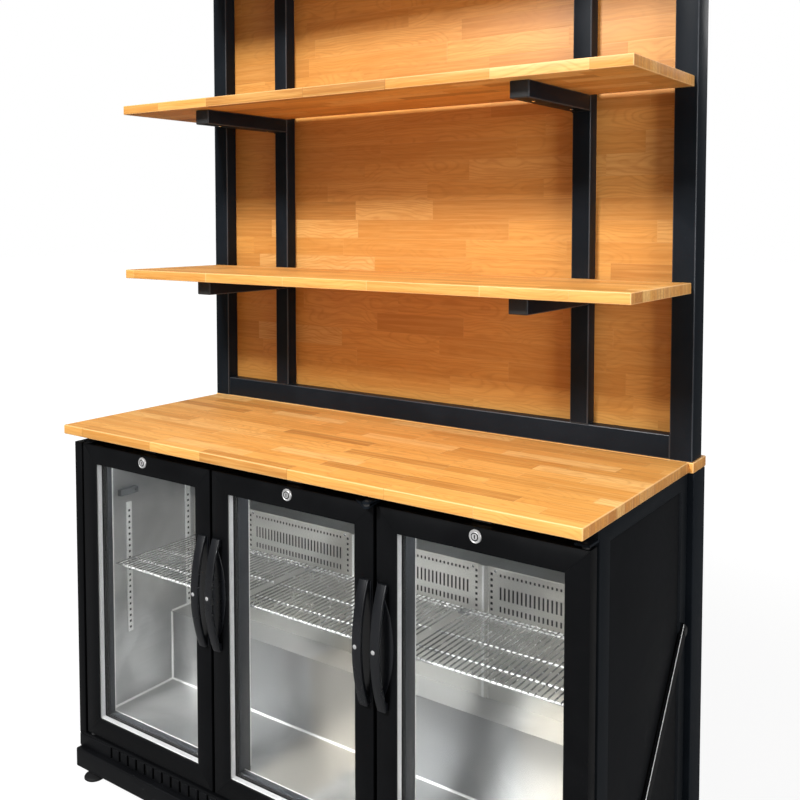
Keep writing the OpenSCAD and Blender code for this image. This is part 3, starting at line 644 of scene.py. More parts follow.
@dataclass(frozen=True)
class Pane(Finish):
    """Clear glass that lets the lamps' light through."""

    clean: Colour = (0.988, 0.99, 0.985, 1)
    smudged: Colour = (0.970, 0.973, 0.967, 1)
    shadow: Colour = (0.955, 0.958, 0.952, 1)
    bending: float = 1.2

    def surface(self, tree: Tree) -> Socket:
        """Builds the glass, which casts only a faint shadow.

        Args:
            tree: The material's tree.

        Returns:
            The shader.
        """
        mark = tree.group("HandledFace", Point=tree.place(), Smudge_Scale=5.0)
        glass = tree.principled(Base_Color=tree.mix(mark["Smudge"], self.clean, self.smudged), Roughness=0.0,
                                IOR=self.bending, Transmission_Weight=1.0)
        clear = tree.fill(tree.add("ShaderNodeBsdfTransparent"), Color=self.shadow).outputs[0]
        blend = tree.add("ShaderNodeMixShader")
        shadow = tree.add("ShaderNodeLightPath").outputs["Is Shadow Ray"]
        for value, place in ((shadow, 0), (glass, 1), (clear, 2)):
            tree.put(value, blend.inputs[place])
        return blend.outputs[0]


@dataclass(frozen=True)
class Diffuser(Finish):
    """White cover of the cabinet's light."""

    glow: float = 8.5

    def surface(self, tree: Tree) -> Socket:
        """Builds the cover.

        Args:
            tree: The material's tree.

        Returns:
            The shader.
        """
        mark = tree.group("HandledFace", Point=tree.place(), Smudge_Scale=12.0)
        colour = tree.mix(mark["Smudge"], (0.93, 0.95, 0.97, 1), (0.86, 0.89, 0.92, 1))
        return tree.principled(Base_Color=colour, Roughness=0.4, Emission_Color=colour,
                               Emission_Strength=self.glow)


STEEL = Coated("black_powder_coat", deep=(0.0072, 0.0096, 0.0128), pale=(0.0100, 0.0130, 0.0172),
               rough=(0.36, 0.46), shine=0.07)
# Lighter coat on the eased edges of the steel tubes: a painted highlight.
STEEL_HIGHLIGHT = Coated("black_steel_painted_highlight", deep=(0.032, 0.036, 0.042), pale=(0.050, 0.055, 0.063),
                    rough=(0.3, 0.4), shine=0.3)
BASE_COAT = Coated("black_base_coat", deep=(0.0034, 0.0037, 0.0044), pale=(0.0048, 0.0052, 0.0062),
                   rough=(0.38, 0.48), shine=0.16, seed=29.0)
STEEL_WALL = Coated("black_wall_coat", deep=(0.0050, 0.0055, 0.0065), pale=(0.0070, 0.0076, 0.0089),
                    rough=(0.5, 0.62), skin_scale=900.0, shine=0.12, seed=3.0)
WALL_RIM = Coated("black_wall_rim", deep=(0.0066, 0.0082, 0.0102), pale=(0.0090, 0.0110, 0.0136),
                  rough=(0.38, 0.48), shine=0.1, seed=29.0)
DOOR_COAT = Coated("black_door_coat", deep=(0.0026, 0.0028, 0.0033), pale=(0.0036, 0.0039, 0.0046),
                   rough=(0.38, 0.48), seed=5.0, shine=0.13)
HANDLE_PLASTIC = Coated("black_handle_plastic", deep=(0.0038, 0.0044, 0.0058), pale=(0.0054, 0.0062, 0.0082),
                        rough=(0.24, 0.34), skin_scale=2200.0, skin_depth=0.00003, shine=0.62, seed=7.0)
PLASTIC = Coated("black_plastic", deep=(0.006, 0.006, 0.0066), pale=(0.01, 0.01, 0.011), rough=(0.4, 0.55),
                 seed=11.0)
GREY_PLASTIC = Coated("grey_holder_plastic", deep=(0.11, 0.12, 0.125), pale=(0.17, 0.18, 0.188), seed=31.0)
SLATE_PLASTIC = Coated("slate_surround_plastic", deep=(0.030, 0.033, 0.039), pale=(0.042, 0.046, 0.053),
                       rough=(0.3, 0.42), skin_depth=0.00002, shine=0.35, seed=13.0)
RUBBER = Coated("black_rubber", deep=(0.006, 0.006, 0.0064), pale=(0.01, 0.01, 0.0105), rough=(0.6, 0.75),
                skin_scale=700.0, seed=17.0, dust=0.5)
MACHINE = Coated("black_enamel", deep=(0.006, 0.006, 0.006), pale=(0.011, 0.011, 0.011), rough=(0.25, 0.4),
                 seed=19.0)
# The evaporator fins are painted near black: painted shade for what the covers' slits show.
SHADED_FINS = Coated("fins_painted_shade", deep=(0.008, 0.008, 0.008), pale=(0.02, 0.02, 0.02), rough=(0.5, 0.7),
                    skin_scale=500.0, seed=23.0)
# The level boards are lifted a little towards pale as painted light.
TOP_WOOD = Boards("level_butcher_block", width=0.036, length=0.24, contrast=1.1, pale=0.06, line=0.4)
# Paler wood on the boards' eased edges: a painted highlight.
WOOD_HIGHLIGHT = Boards("block_edge_painted_highlight", width=0.036, length=0.24, contrast=0.6, pale=0.62)
# The upright panel is darkened towards brown as painted shade.
PANEL_WOOD = Boards("upright_butcher_block", plane=BoardPlane.UPRIGHT, width=0.047, length=0.34, seed=4.0,
                    contrast=1.6, tan=0.50, line=0.08)
# A dark slate sheet that stands in for the shade and dark reflection on the back wall above the covers.
SHADE_SHEET = SheetMetal("slate_sheet_painted_shade", bright=(0.27, 0.285, 0.295), dull=(0.16, 0.168, 0.175),
                         metallic=0.5, rough=(0.35, 0.45), reflection_bands=0.5)
# The liner takes painted reflection bands and a warm painted shade.
LINER = SheetMetal("brushed_liner", bright=(0.82, 0.82, 0.82), dull=(0.36, 0.367, 0.375), metallic=0.75,
                   reflection_bands=0.75, warm_shade=0.85)
# Near-white copy of the liner for its bends and lips: a painted highlight.
BEND_HIGHLIGHT = SheetMetal("liner_bend_painted_highlight", bright=(0.97, 0.97, 0.96), dull=(0.90, 0.90, 0.89), metallic=0.35)
# The covers take a little warm painted shade.
COVER = SheetMetal("satin_cover_sheet", bright=(0.80, 0.79, 0.76), dull=(0.70, 0.69, 0.66), rough=(0.34, 0.44),
                   warm_shade=0.4)
SPACER = SheetMetal("bright_spacer", bright=(0.72, 0.72, 0.73), dull=(0.64, 0.64, 0.65), rough=(0.3, 0.4),
                    metallic=0.45)
STRIP = SheetMetal("bright_slotted_strip", bright=(0.97, 0.97, 0.96), dull=(0.90, 0.90, 0.89),
                   rough=(0.3, 0.42), metallic=0.25)
FINS = SheetMetal("aluminium_fins", bright=(0.78, 0.79, 0.80), dull=(0.62, 0.63, 0.64), rough=(0.3, 0.5))
# One plating in two copies: the wires darkened as painted shade, the rods brightened as a painted highlight.
SHADED_WIRE = Plated("plated_wire_painted_shade", colour=(0.58, 0.58, 0.58), rough=(0.16, 0.3), metallic=0.9)
LIT_ROD = Plated("plated_rod_painted_highlight", colour=(0.97, 0.97, 0.97), rough=(0.22, 0.34), metallic=0.6)
CHROME = Plated("polished_chrome")
NICKEL = Plated("satin_nickel", colour=(0.74, 0.74, 0.74), rough=(0.28, 0.38), metallic=0.55)
GLASS = Pane("door_glass")
LIGHT = Diffuser("light_diffuser")


# ---------------------------------------------------------------- shapes


def circle(sides: int) -> list[float]:
    """Returns the angles of equal steps round a circle."""
    return [2 * math.pi * k / sides for k in range(sides)]


def screw_head(crown: float, radius: float, sunk: float, rise: float = 0.0016, edge: float = 0.0004) -> Profile:
    """Draws the profile of a domed screw head.

    Args:
        crown: Radius of its flat crown.
        radius: Radius of its edge.
        sunk: How far it goes into the surface.
        rise: How far the crown stands out.
        edge: How far the edge stands out.

    Returns:
        Radius and place along the screw, from the crown inward.
    """
    return [(AXIS_R, -rise), (crown, -rise), (radius, -edge), (radius, sunk)]


def skin(part: Form, rings: Sequence[Sequence[Vector]]) -> list[list[bmesh.types.BMVert]]:
    """Adds the faces between neighbouring rings of points.

    Args:
        part: The form that takes them.
        rings: Rings with the same count of points.

    Returns:
        The vertices of each ring.
    """
    made = [[part.verts.new(p) for p in ring] for ring in rings]
    count = len(made[0])
    for a, b in zip(made, made[1:]):
        for i in range(count):
            j = (i + 1) % count
            part.faces.new((a[i], a[j], b[j], b[i]))
    return made


def soften(part: Form, ease: float, steps: int = 2, edge_highlight: bool = False) -> None:
    """Eases all edges of a form.

    Args:
        part: The form.
        ease: Radius of the edges.
        steps: Faces across each edge.
        edge_highlight: True where the edges take the piece's second finish, a painted highlight.
    """
    bmesh.ops.bevel(part, geom=part.edges[:], offset=ease, segments=steps, profile=0.5, affect="EDGES",
                    clamp_overlap=True, material=1 if edge_highlight else -1)


class Shape:
    """A piece in the making: closed forms are added one by one, in metres."""

    def __init__(self) -> None:
        """Starts an empty mesh."""
        self.mesh = bmesh.new()

    def take(self, part: Form, smooth: bool) -> None:
        """Adds a finished form.

        Args:
            part: The form, which is freed.
            smooth: True where its faces are shaded as one skin.
        """
        bmesh.ops.recalc_face_normals(part, faces=part.faces)
        for face in part.faces:
            face.smooth = smooth
        carrier = bpy.data.meshes.new("form")
        part.to_mesh(carrier)
        part.free()
        self.mesh.from_mesh(carrier)
        bpy.data.meshes.remove(carrier)

    def block(self, low: Sequence[float], high: Sequence[float], ease: float, steps: int = 2,
              edge_highlight: bool = False) -> None:
        """Adds a block with eased edges.

        Args:
            low: Its lowest corner.
            high: Its highest corner.
            ease: Radius of its edges.
            steps: Faces across each edge.
            edge_highlight: True where the edges take the piece's second finish, a painted highlight.
        """
        low, high = Vector(low), Vector(high)
        part = bmesh.new()
        bmesh.ops.create_cube(part, size=1.0)
        bmesh.ops.scale(part, vec=high - low, verts=part.verts)
        bmesh.ops.translate(part, vec=(low + high) / 2, verts=part.verts)
        soften(part, ease, steps, edge_highlight)
        self.take(part, False)

    def rings(self, rings: Sequence[Sequence[Vector]], smooth: bool = True) -> None:
        """Adds a skin through rings of points, with flat ends.

        Args:
            rings: Rings with the same count of points.
            smooth: True for one smooth skin.
        """
        part = bmesh.new()
        made = skin(part, rings)
        ends = [part.faces.new(made[0]), part.faces.new(list(reversed(made[-1])))]
        if len(made[0]) > 4:
            bmesh.ops.triangulate(part, faces=ends, ngon_method="EAR_CLIP")
        self.take(part, smooth)

    def turned(self, profile: Profile, at: Sequence[float], axis: Axis, sides: int = 48) -> None:
        """Adds a turned form.

        Args:
            profile: Radius and place along the axis, from one end to the other.
            at: Where the axis starts.
            axis: The direction of the axis.
            sides: Faces round it.
        """
        self.rings([[Vector(at) + axis.point(radius * math.cos(t), radius * math.sin(t), place)
                     for t in circle(sides)] for radius, place in profile])

    def wire(self, line: Sequence[Sequence[float]], radius: float, sides: int = 10) -> None:
        """Adds a round wire along a line of points.

        Args:
            line: The points.
            radius: Radius of the wire.
            sides: Faces round it.
        """
        points = [Vector(p) for p in line]
        rings = []
        for i, point in enumerate(points):
            ahead = (points[min(i + 1, len(points) - 1)] - points[max(i - 1, 0)]).normalized()
            side = ahead.cross(Vector((0, 0, 1)))
            if side.length < 1e-3:
                side = Vector((1, 0, 0))
            side.normalize()
            up = side.cross(ahead)
            rings.append([point + radius * (math.cos(t) * side + math.sin(t) * up) for t in circle(sides)])
        self.rings(rings)

    def bars(self, outline: Profile, low: Vector, high: Vector, gap: float = 0.0, smooth: bool = False) -> None:
        """Adds four mitred bars round an upright rectangle.

        Args:
            outline: The bar's section: distance in from the rectangle, and depth behind low's.
            low: Left lower corner of the rectangle.
            high: Right upper corner of the rectangle.
            gap: Width of the mitre joints.
            smooth: True for a smooth skin.
        """
        corners = [(low.x, low.z, 1, 1), (high.x, low.z, -1, 1), (high.x, high.z, -1, -1), (low.x, high.z, 1, -1)]
        for a, b in zip(corners, corners[1:] + corners[:1]):
            run = Vector((b[0] - a[0], 0, b[1] - a[1])).normalized() * gap / 2
            self.rings([[Vector((x + sx * u, low.y + v, z + sz * u)) + shift for u, v in outline]
                        for (x, z, sx, sz), shift in ((a, run), (b, -run))], smooth)

    def prism(self, outline: Profile, axis: Axis, ends: Pair, ease: float = 0.0, smooth: bool = False) -> None:
        """Adds an outline drawn out along an axis.

        Args:
            outline: Points in the plane across the axis, in the order of the other two axes.
            axis: The direction.
            ends: Where it starts and ends.
            ease: Radius of its edges.
            smooth: True for a smooth skin.
        """
        part = bmesh.new()
        lower, upper = skin(part, [[axis.point(a, b, place) for a, b in outline] for place in ends])
        part.faces.new(list(reversed(lower)))
        part.faces.new(upper)
        if ease:
            bmesh.ops.recalc_face_normals(part, faces=part.faces)
            soften(part, ease)
        self.take(part, smooth)

    def piece(self, name: str, finish: Finish, slot: str, *nodes: str, body: str = "cabinet",
              edges: Optional[Finish] = None) -> None:
        """Makes the piece and gives it its finish and its body.

        Args:
            name: Name of the piece.
            finish: Its finish.
            slot: The material slot; it is not used.
            nodes: CAD nodes that it stands for.
            body: The body that it rides on.
            edges: The finish of the eased edges, a painted highlight.
        """
        data = bpy.data.meshes.new(name)
        self.mesh.to_mesh(data)
        self.mesh.free()
        data.set_sharp_from_angle(angle=math.radians(CREASE))
        made = bpy.data.objects.new(name, data)
        bpy.context.scene.collection.objects.link(made)
        for skin_finish in filter(None, (finish, edges)):
            data.materials.append(skin_finish.material())
        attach(made, body)
        if nodes:
            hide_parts(*nodes)
        log.info("piece %s on %s", name, body)


def solids(node: str) -> list[Box]:
    """Finds the boxes of the separate solids in a CAD node.

    Args:
        node: The node's name.

    Returns:
        Lowest and highest corner of each, from left to right, front to back and bottom to top.
    """
    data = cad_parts[node].data
    keys = [tuple(round(c, 5) for c in v.co) for v in data.vertices]
    first: dict[tuple, int] = {}
    root = [first.setdefault(key, i) for i, key in enumerate(keys)]

    def top(i: int) -> int:
        """Follows the roots up to the first point of a solid.

        Args:
            i: A point of the solid.

        Returns:
            Its first point.
        """
        while root[i] != i:
            root[i] = root[root[i]]
            i = root[i]
        return i

    for edge in data.edges:
        a, b = (top(i) for i in edge.vertices)
        if a != b:
            root[b] = a
    found: dict[int, list[Vector]] = {}
    for i, vertex in enumerate(data.vertices):
        found.setdefault(top(i), []).append(vertex.co)
    boxes = [tuple(Vector([pick(c[k] for c in group) for k in range(3)]) for pick in (min, max))
             for group in found.values()]
    return sorted(boxes, key=lambda b: tuple(round(v, 3) for v in b[0]))


def outward(low: Vector, high: Vector) -> tuple[float, int]:
    """Returns x of a box's face that looks away from the middle, and the sign of that way."""
    return (high.x, 1) if low.x > 0 else (low.x, -1)


def dress(finish: Finish, *nodes: str) -> None:
    """Gives CAD nodes a finish in place of their plain one.

    Args:
        finish: The finish.
        nodes: The nodes' names.
    """
    for node in nodes:
        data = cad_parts[node].data
        data.materials.clear()
        data.materials.append(finish.material())
        log.info("node %s dressed", node)


# ---------------------------------------------------------------- sub-assemblies


@dataclass
class Counter:
    """The worktop's two boards."""

    ease: float = 0.002

    def build(self) -> None:
        """Builds both boards, whose eased edges take a paler painted highlight."""
        for node in ("worktop_board", "rear_strip"):
            board = Shape()
            board.block(*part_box(node), self.ease, steps=3, edge_highlight=True)
            board.piece(f"{node}_staves", TOP_WOOD, "wood", node, edges=WOOD_HIGHLIGHT)


@dataclass
class ShelfFrame:
    """Steel posts and rails over the worktop, with their panel, shelves and arms."""

    ease: float = 0.0022
    board_ease: float = 0.0018
    cap_in: float = 0.0016
    cap_out: float = 0.0012
    cap_ease: float = 0.0008
    seam_r: float = 0.0017
    seam_in: float = 0.0015
    head: Point = (0.0028, 0.0044, 0.0006)
    arm_screws: Pair = (0.06, 0.05)
    post_screws: int = 5
    post_margin: float = 0.08

    def tubes(self, name: str, node: str) -> None:
        """Builds the tubes of a node with rounded edges, which take a lighter painted highlight.

        Args:
            name: Name of the piece.
            node: Name of the node.
        """
        tube = Shape()
        for low, high in solids(node):
            tube.block(low, high, self.ease, steps=3, edge_highlight=True)
        tube.piece(name, STEEL, "black_steel", node, edges=STEEL_HIGHLIGHT)

    def arms(self) -> None:
        """Builds the shelf arms: tubes whose front ends are closed by plastic caps, on weld seams, with a lighter
        painted highlight on their eased edges.
        """
        arms, caps, seams = Shape(), Shape(), Shape()
        inset = Vector((self.cap_in, 0, self.cap_in))
        for low, high in solids("shelf_arms"):
            arms.block((low.x, low.y + self.cap_out, low.z), high, self.ease, steps=3, edge_highlight=True)
            end = Vector((high.x, low.y + 3 * self.cap_out, high.z))
            caps.block(low + inset, end - inset, self.cap_ease)
            y = high.y - self.seam_in
            seams.wire([(low.x, y, low.z), (high.x, y, low.z)], self.seam_r, sides=8)
        arms.piece("arm_tubes", STEEL, "black_steel", "shelf_arms", edges=STEEL_HIGHLIGHT)
        caps.piece("arm_end_caps", PLASTIC, "black_plastic")
        seams.piece("arm_weld_seams", STEEL, "black_steel")

    def screws(self) -> None:
        """Builds the screws that hold the shelves to their arms and the panel to its posts."""
        screws, head = Shape(), screw_head(*self.head)
        near, far = self.arm_screws
        for low, high in solids("shelf_arms"):
            for y in (low.y + near, high.y - far):
                screws.turned(head, ((low.x + high.x) / 2, y, low.z), Axis.Z, sides=20)
        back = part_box("back_panel")[1].y
        rear = [(radius, -place) for radius, place in reversed(head)]
        for low, high in solids("inner_posts"):
            pitch = (high.z - low.z - 2 * self.post_margin) / (self.post_screws - 1)
            for k in range(self.post_screws):
                at = ((low.x + high.x) / 2, back, low.z + self.post_margin + k * pitch)
                screws.turned(rear, at, Axis.Y, sides=20)
        screws.piece("board_screws", CHROME, "bright_metal")

    def boards(self) -> None:
        """Builds the back panel and the shelves; the shelves' eased edges take a paler painted highlight."""
        panel, shelves = Shape(), Shape()
        panel.block(*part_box("back_panel"), self.board_ease)
        panel.piece("panel_staves", PANEL_WOOD, "wood", "back_panel")
        for low, high in solids("wood_shelves"):
            shelves.block(low, high, self.board_ease, steps=3, edge_highlight=True)
        shelves.piece("shelf_staves", TOP_WOOD, "wood", "wood_shelves", edges=WOOD_HIGHLIGHT)

    def build(self) -> None:
        """Builds the whole frame."""
        self.tubes("outer_tubes", "outer_posts")
        self.tubes("inner_tubes", "inner_posts")
        self.tubes("rail_tubes", "frame_rails")
        self.arms()
        self.screws()
        self.boards()


@dataclass
class RearSupport:
    """Rear legs and the diagonal braces."""

    ease: float = 0.0022
    leg_start: float = 0.003
    plate_top: float = 0.006
    plate_in: float = 0.002
    plate_ease: float = 0.0008
    # Radius and inset of the thin bright wire that paints a highlight on each brace.
    highlight_r: float = 0.0009
    highlight_in: float = 0.003
    least_run: float = 0.4
    near: float = 0.0002

    def brace_highlights(self) -> None:
        """Builds a thin bright wire along the front edge of each brace's outer face, a painted highlight."""
        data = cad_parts["side_braces"].data
        reach = max(v.co.x for v in data.vertices)
        highlight = Shape()
        for side in (-1, 1):
            lines = []
            for edge in data.edges:
                a, b = (data.vertices[i].co.copy() for i in edge.vertices)
                if (b - a).length > self.least_run and all(abs(p.x * side - reach) < self.near for p in (a, b)):
                    lines.append((a.y + b.y, a, b))
            if lines:
                _, a, b = min(lines, key=lambda line: line[0])
                run = (b - a).normalized() * self.highlight_in
                highlight.wire([a + run, b - run], self.highlight_r, sides=8)
        highlight.piece("brace_painted_highlights", STRIP, "bright_metal")

    def build(self) -> None:
        """Builds the legs and their foot plates, and dresses the braces."""
        legs, plates = Shape(), Shape()
        inset = Vector((self.plate_in, self.plate_in, 0))
        for low, high in solids("rear_legs"):
            legs.block((low.x, low.y, low.z + self.leg_start), high, self.ease, steps=3)
            top = Vector((high.x, high.y, low.z + self.plate_top))
            plates.block(low + inset, top - inset, self.plate_ease)
        legs.piece("leg_tubes", STEEL, "black_steel", "rear_legs")
        plates.piece("leg_foot_plates", RUBBER, "gasket_rubber")
        dress(BASE_COAT, "side_braces")
        dress(PLASTIC, "brace_bolts")
        self.brace_highlights()


@dataclass
class Cabinet:
    """Insulated body, base, louvres, feet and the surround of the doors."""

    ease: float = 0.0015
    rim: float = 0.030
    rim_front: float = 0.045
    rim_rear: float = 0.036
    recess: float = 0.004
    sheet_in: float = 0.0022
    sheet_sunk: float = 0.0005
    sheet_out: float = 0.0004
    trim_ease: float = 0.001
    trim_behind: float = 0.001
    lip_out: float = 0.0012
    lip_lap: float = 0.0006
    lip_front: float = 0.0008
    tall: float = 0.5
    sill_below: float = 0.3
    head_above: float = 0.7
    plain: float = 0.095
    pitch: float = 0.030
    slot: float = 0.007
    margin: float = 0.0035
    band: float = 0.0015
    rib_rear: float = 0.004
    rib_ease: float = 0.0014
    rail_in: float = 0.0016
    rail_rear: float = 0.001
    shade_plate_depths: Pair = (0.0045, 0.0055)
    thin: float = 0.004
    pad_profile: Profile = ((0.0015, 0.0), (0.0, 0.0015), (0.0, 0.0045), (0.001, 0.0062), (0.004, 0.0078))
    neck_profile: Profile = ((0.55, 0.009), (0.42, 0.0105))
    nut_profile: Profile = ((AXIS_R, 0.0182), (0.0095, 0.0182), (0.0108, 0.0192), (0.0108, 0.0228),
                            (0.0095, 0.0238), (AXIS_R, 0.0238))
    thread_profile: Profile = ((0.0053, 0.0), (0.006, 0.0008), (0.0053, 0.0016))
    thread_pitch: float = 0.0022
    threads: int = 14
    stem_ends: Pair = (0.009, 0.0405)

    def side(self, low: Vector, high: Vector) -> list[list[Vector]]:
        """Draws one side wall, from its inner face to the middle of its recessed outer face.

        Args:
            low: Lowest corner of the wall.
            high: Highest corner of the wall.

        Returns:
            Rings of four corners.
        """
        outer, out = outward(low, high)

        def ring(sunk: float, shift: float, inside: bool = True) -> list[Vector]:
            """Draws one ring.

            Args:
                sunk: How far it lies under the outer face.
                shift: How far it is moved in.
                inside: True where this counts from the rim's inner edge, and not from the wall's.

            Returns:
                Its four corners.
            """
            front, rear, level = (inside * v + shift for v in (self.rim_front, self.rim_rear, self.rim))
            x, y0, y1, z0, z1 = outer - out * sunk, low.y + front, high.y - rear, low.z + level, high.z - level
            return [Vector(p) for p in ((x, y0, z0), (x, y1, z0), (x, y1, z1), (x, y0, z1))]

        e, deep = self.ease, self.recess
        return [ring(high.x - low.x, 0, False), ring(e, 0, False), ring(0.3 * e, 0.3 * e, False),
                ring(0, e, False), ring(0, -0.0015), ring(0.001, -0.0004), ring(deep - 0.001, 0.0004),
                ring(deep, 0.002)]

    def walls(self) -> None:
        """Builds the side walls with their raised rims and sunk sheets, and dresses the plain walls."""
        walls, sheets = Shape(), Shape()
        front, rear, level = (v + self.sheet_in for v in (self.rim_front, self.rim_rear, self.rim))
        for low, high in solids("side_walls"):
            walls.rings(self.side(low, high), smooth=False)
            outer, out = outward(low, high)
            face = outer - out * self.recess
            near, far = sorted((face - out * self.sheet_sunk, face + out * self.sheet_out))
            sheets.block((near, low.y + front, low.z + level), (far, high.y - rear, high.z - level), ease=0.0003)
        walls.piece("side_wall_skins", WALL_RIM, "insulated_panel", "side_walls")
        sheets.piece("side_wall_sheets", STEEL_WALL, "insulated_panel")
        dress(STEEL_WALL, "top_wall", "floor_wall", "back_wall", "step_walls")

    def lips(self, bars: Sequence[Box]) -> None:
        """Builds the liner's folded lip along the left and lower edge of each opening, in a near-white finish that
        is a painted highlight.

        Args:
            bars: The surround's bars.
        """
        uprights = [b for b in bars if b[1].z - b[0].z > self.tall]
        lower = [b for b in bars if b[1].z < self.sill_below]
        upper = [b for b in bars if b[0].z > self.head_above]
        lip, front, out, lap = Shape(), self.lip_front, self.lip_out, self.lip_lap
        for side, sill, head in zip(uprights, lower, upper):
            x, y, z = side[1].x, side[1].y, sill[1].z
            lip.block((x - lap, y - front, z), (x + out, y + out, head[0].z), ease=0.0003)
            y = sill[1].y
            lip.block((x, y - front, z - lap), (sill[1].x, y + out, z + out), ease=0.0003)
        lip.piece("liner_lips", BEND_HIGHLIGHT, "liner_steel")

    def surround(self) -> None:
        """Builds the posts between the doors and the trim round the openings."""
        trim, post = Shape(), Shape()
        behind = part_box("door_frame_left")[1].y - self.trim_behind
        bars = [b for b in solids("door_posts") if b[0].y >= behind]
        for bar in bars:
            trim.block(*bar, self.trim_ease)
        for bar in solids("door_posts"):
            if bar not in bars:
                post.block(*bar, self.ease)
        self.lips(bars)
        post.piece("left_end_post", DOOR_COAT, "black_steel", "door_posts")
        trim.piece("door_surround", SLATE_PLASTIC, "black_steel")

    def louvres(self) -> None:
        """Builds the louvred strip: plain ends, a set-back strip and a row of raised ribs, with a black plate
        behind the slots as painted shade.
        """
        low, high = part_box("louvre_panel")
        count = int((high.x - low.x - 2 * self.plain) / self.pitch)
        first, half = -(count - 1) * self.pitch / 2, self.slot / 2
        edges = [low.x]
        for i in range(count):
            edges += [first + i * self.pitch - half, first + i * self.pitch + half]
        edges.append(high.x)
        strip, back, margin = Shape(), Shape(), self.margin
        for a, b in zip(edges[::2], edges[1::2]):
            strip.block((a, low.y, low.z + margin), (b, high.y + self.rib_rear, high.z - margin),
                        ease=self.rib_ease, steps=3)
        rail = margin + self.band
        for z in (low.z, high.z - rail):
            strip.block((low.x, low.y + self.rail_in, z), (high.x, high.y + self.rail_rear, z + rail), ease=0.0004)
        # A black plate behind the slots: painted shade for their depth.
        near, far = (high.y + v for v in self.shade_plate_depths)
        back.block((low.x + 0.002, near, low.z + 0.001), (high.x - 0.002, far, high.z - 0.001), ease=0.0002)
        back.piece("louvre_shade_plate", PLASTIC, "black_plastic")
        strip.piece("louvre_ribs", BASE_COAT, "black_steel", "louvre_panel")

    def base(self) -> None:
        """Builds the sill, the base beams and rails, and the tray."""
        sill, beams = Shape(), Shape()
        sill.block(*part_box("sill_plate"), ease=0.0008)
        sill.piece("sill_strip", DOOR_COAT, "black_steel", "sill_plate")
        for low, high in solids("base_frame"):
            ease, steps = (0.0004, 2) if min(high - low) < self.thin else (0.003, 3)
            beams.block(low, high, ease, steps)
        beams.piece("base_beams", BASE_COAT, "black_steel", "base_frame")

    def feet(self) -> None:
        """Builds the levelling feet: a domed pad, a threaded stem and a lock nut."""
        pads, stems = Shape(), Shape()
        start, end = self.stem_ends
        threads = [(r, start + k * self.thread_pitch + z) for k in range(self.threads)
                   for r, z in self.thread_profile]
        for low, high in solids("levelling_feet"):
            at = ((low.x + high.x) / 2, (low.y + high.y) / 2, low.z)
            r = (high.x - low.x) / 2
            pad = [(r - inset, z) for inset, z in self.pad_profile]
            neck = [(r * share, z) for share, z in self.neck_profile]
            pads.turned([(AXIS_R, 0.0), *pad, *neck, (AXIS_R, neck[-1][1])], at, Axis.Z)
            stems.turned([(AXIS_R, start), *threads, (AXIS_R, end)], at, Axis.Z, sides=24)
            stems.turned(self.nut_profile, at, Axis.Z, sides=6)
        pads.piece("foot_pads", RUBBER, "gasket_rubber", "levelling_feet")
        stems.piece("foot_stems", CHROME, "bright_metal")

    def build(self) -> None:
        """Builds the whole body."""
        self.walls()
        self.surround()
        self.louvres()
        self.base()
        self.feet()
        dress(STEEL, "rear_grille", "hinge_brackets")
        dress(PLASTIC, "hinge_pins")
        dress(CHROME, "lock_keepers")


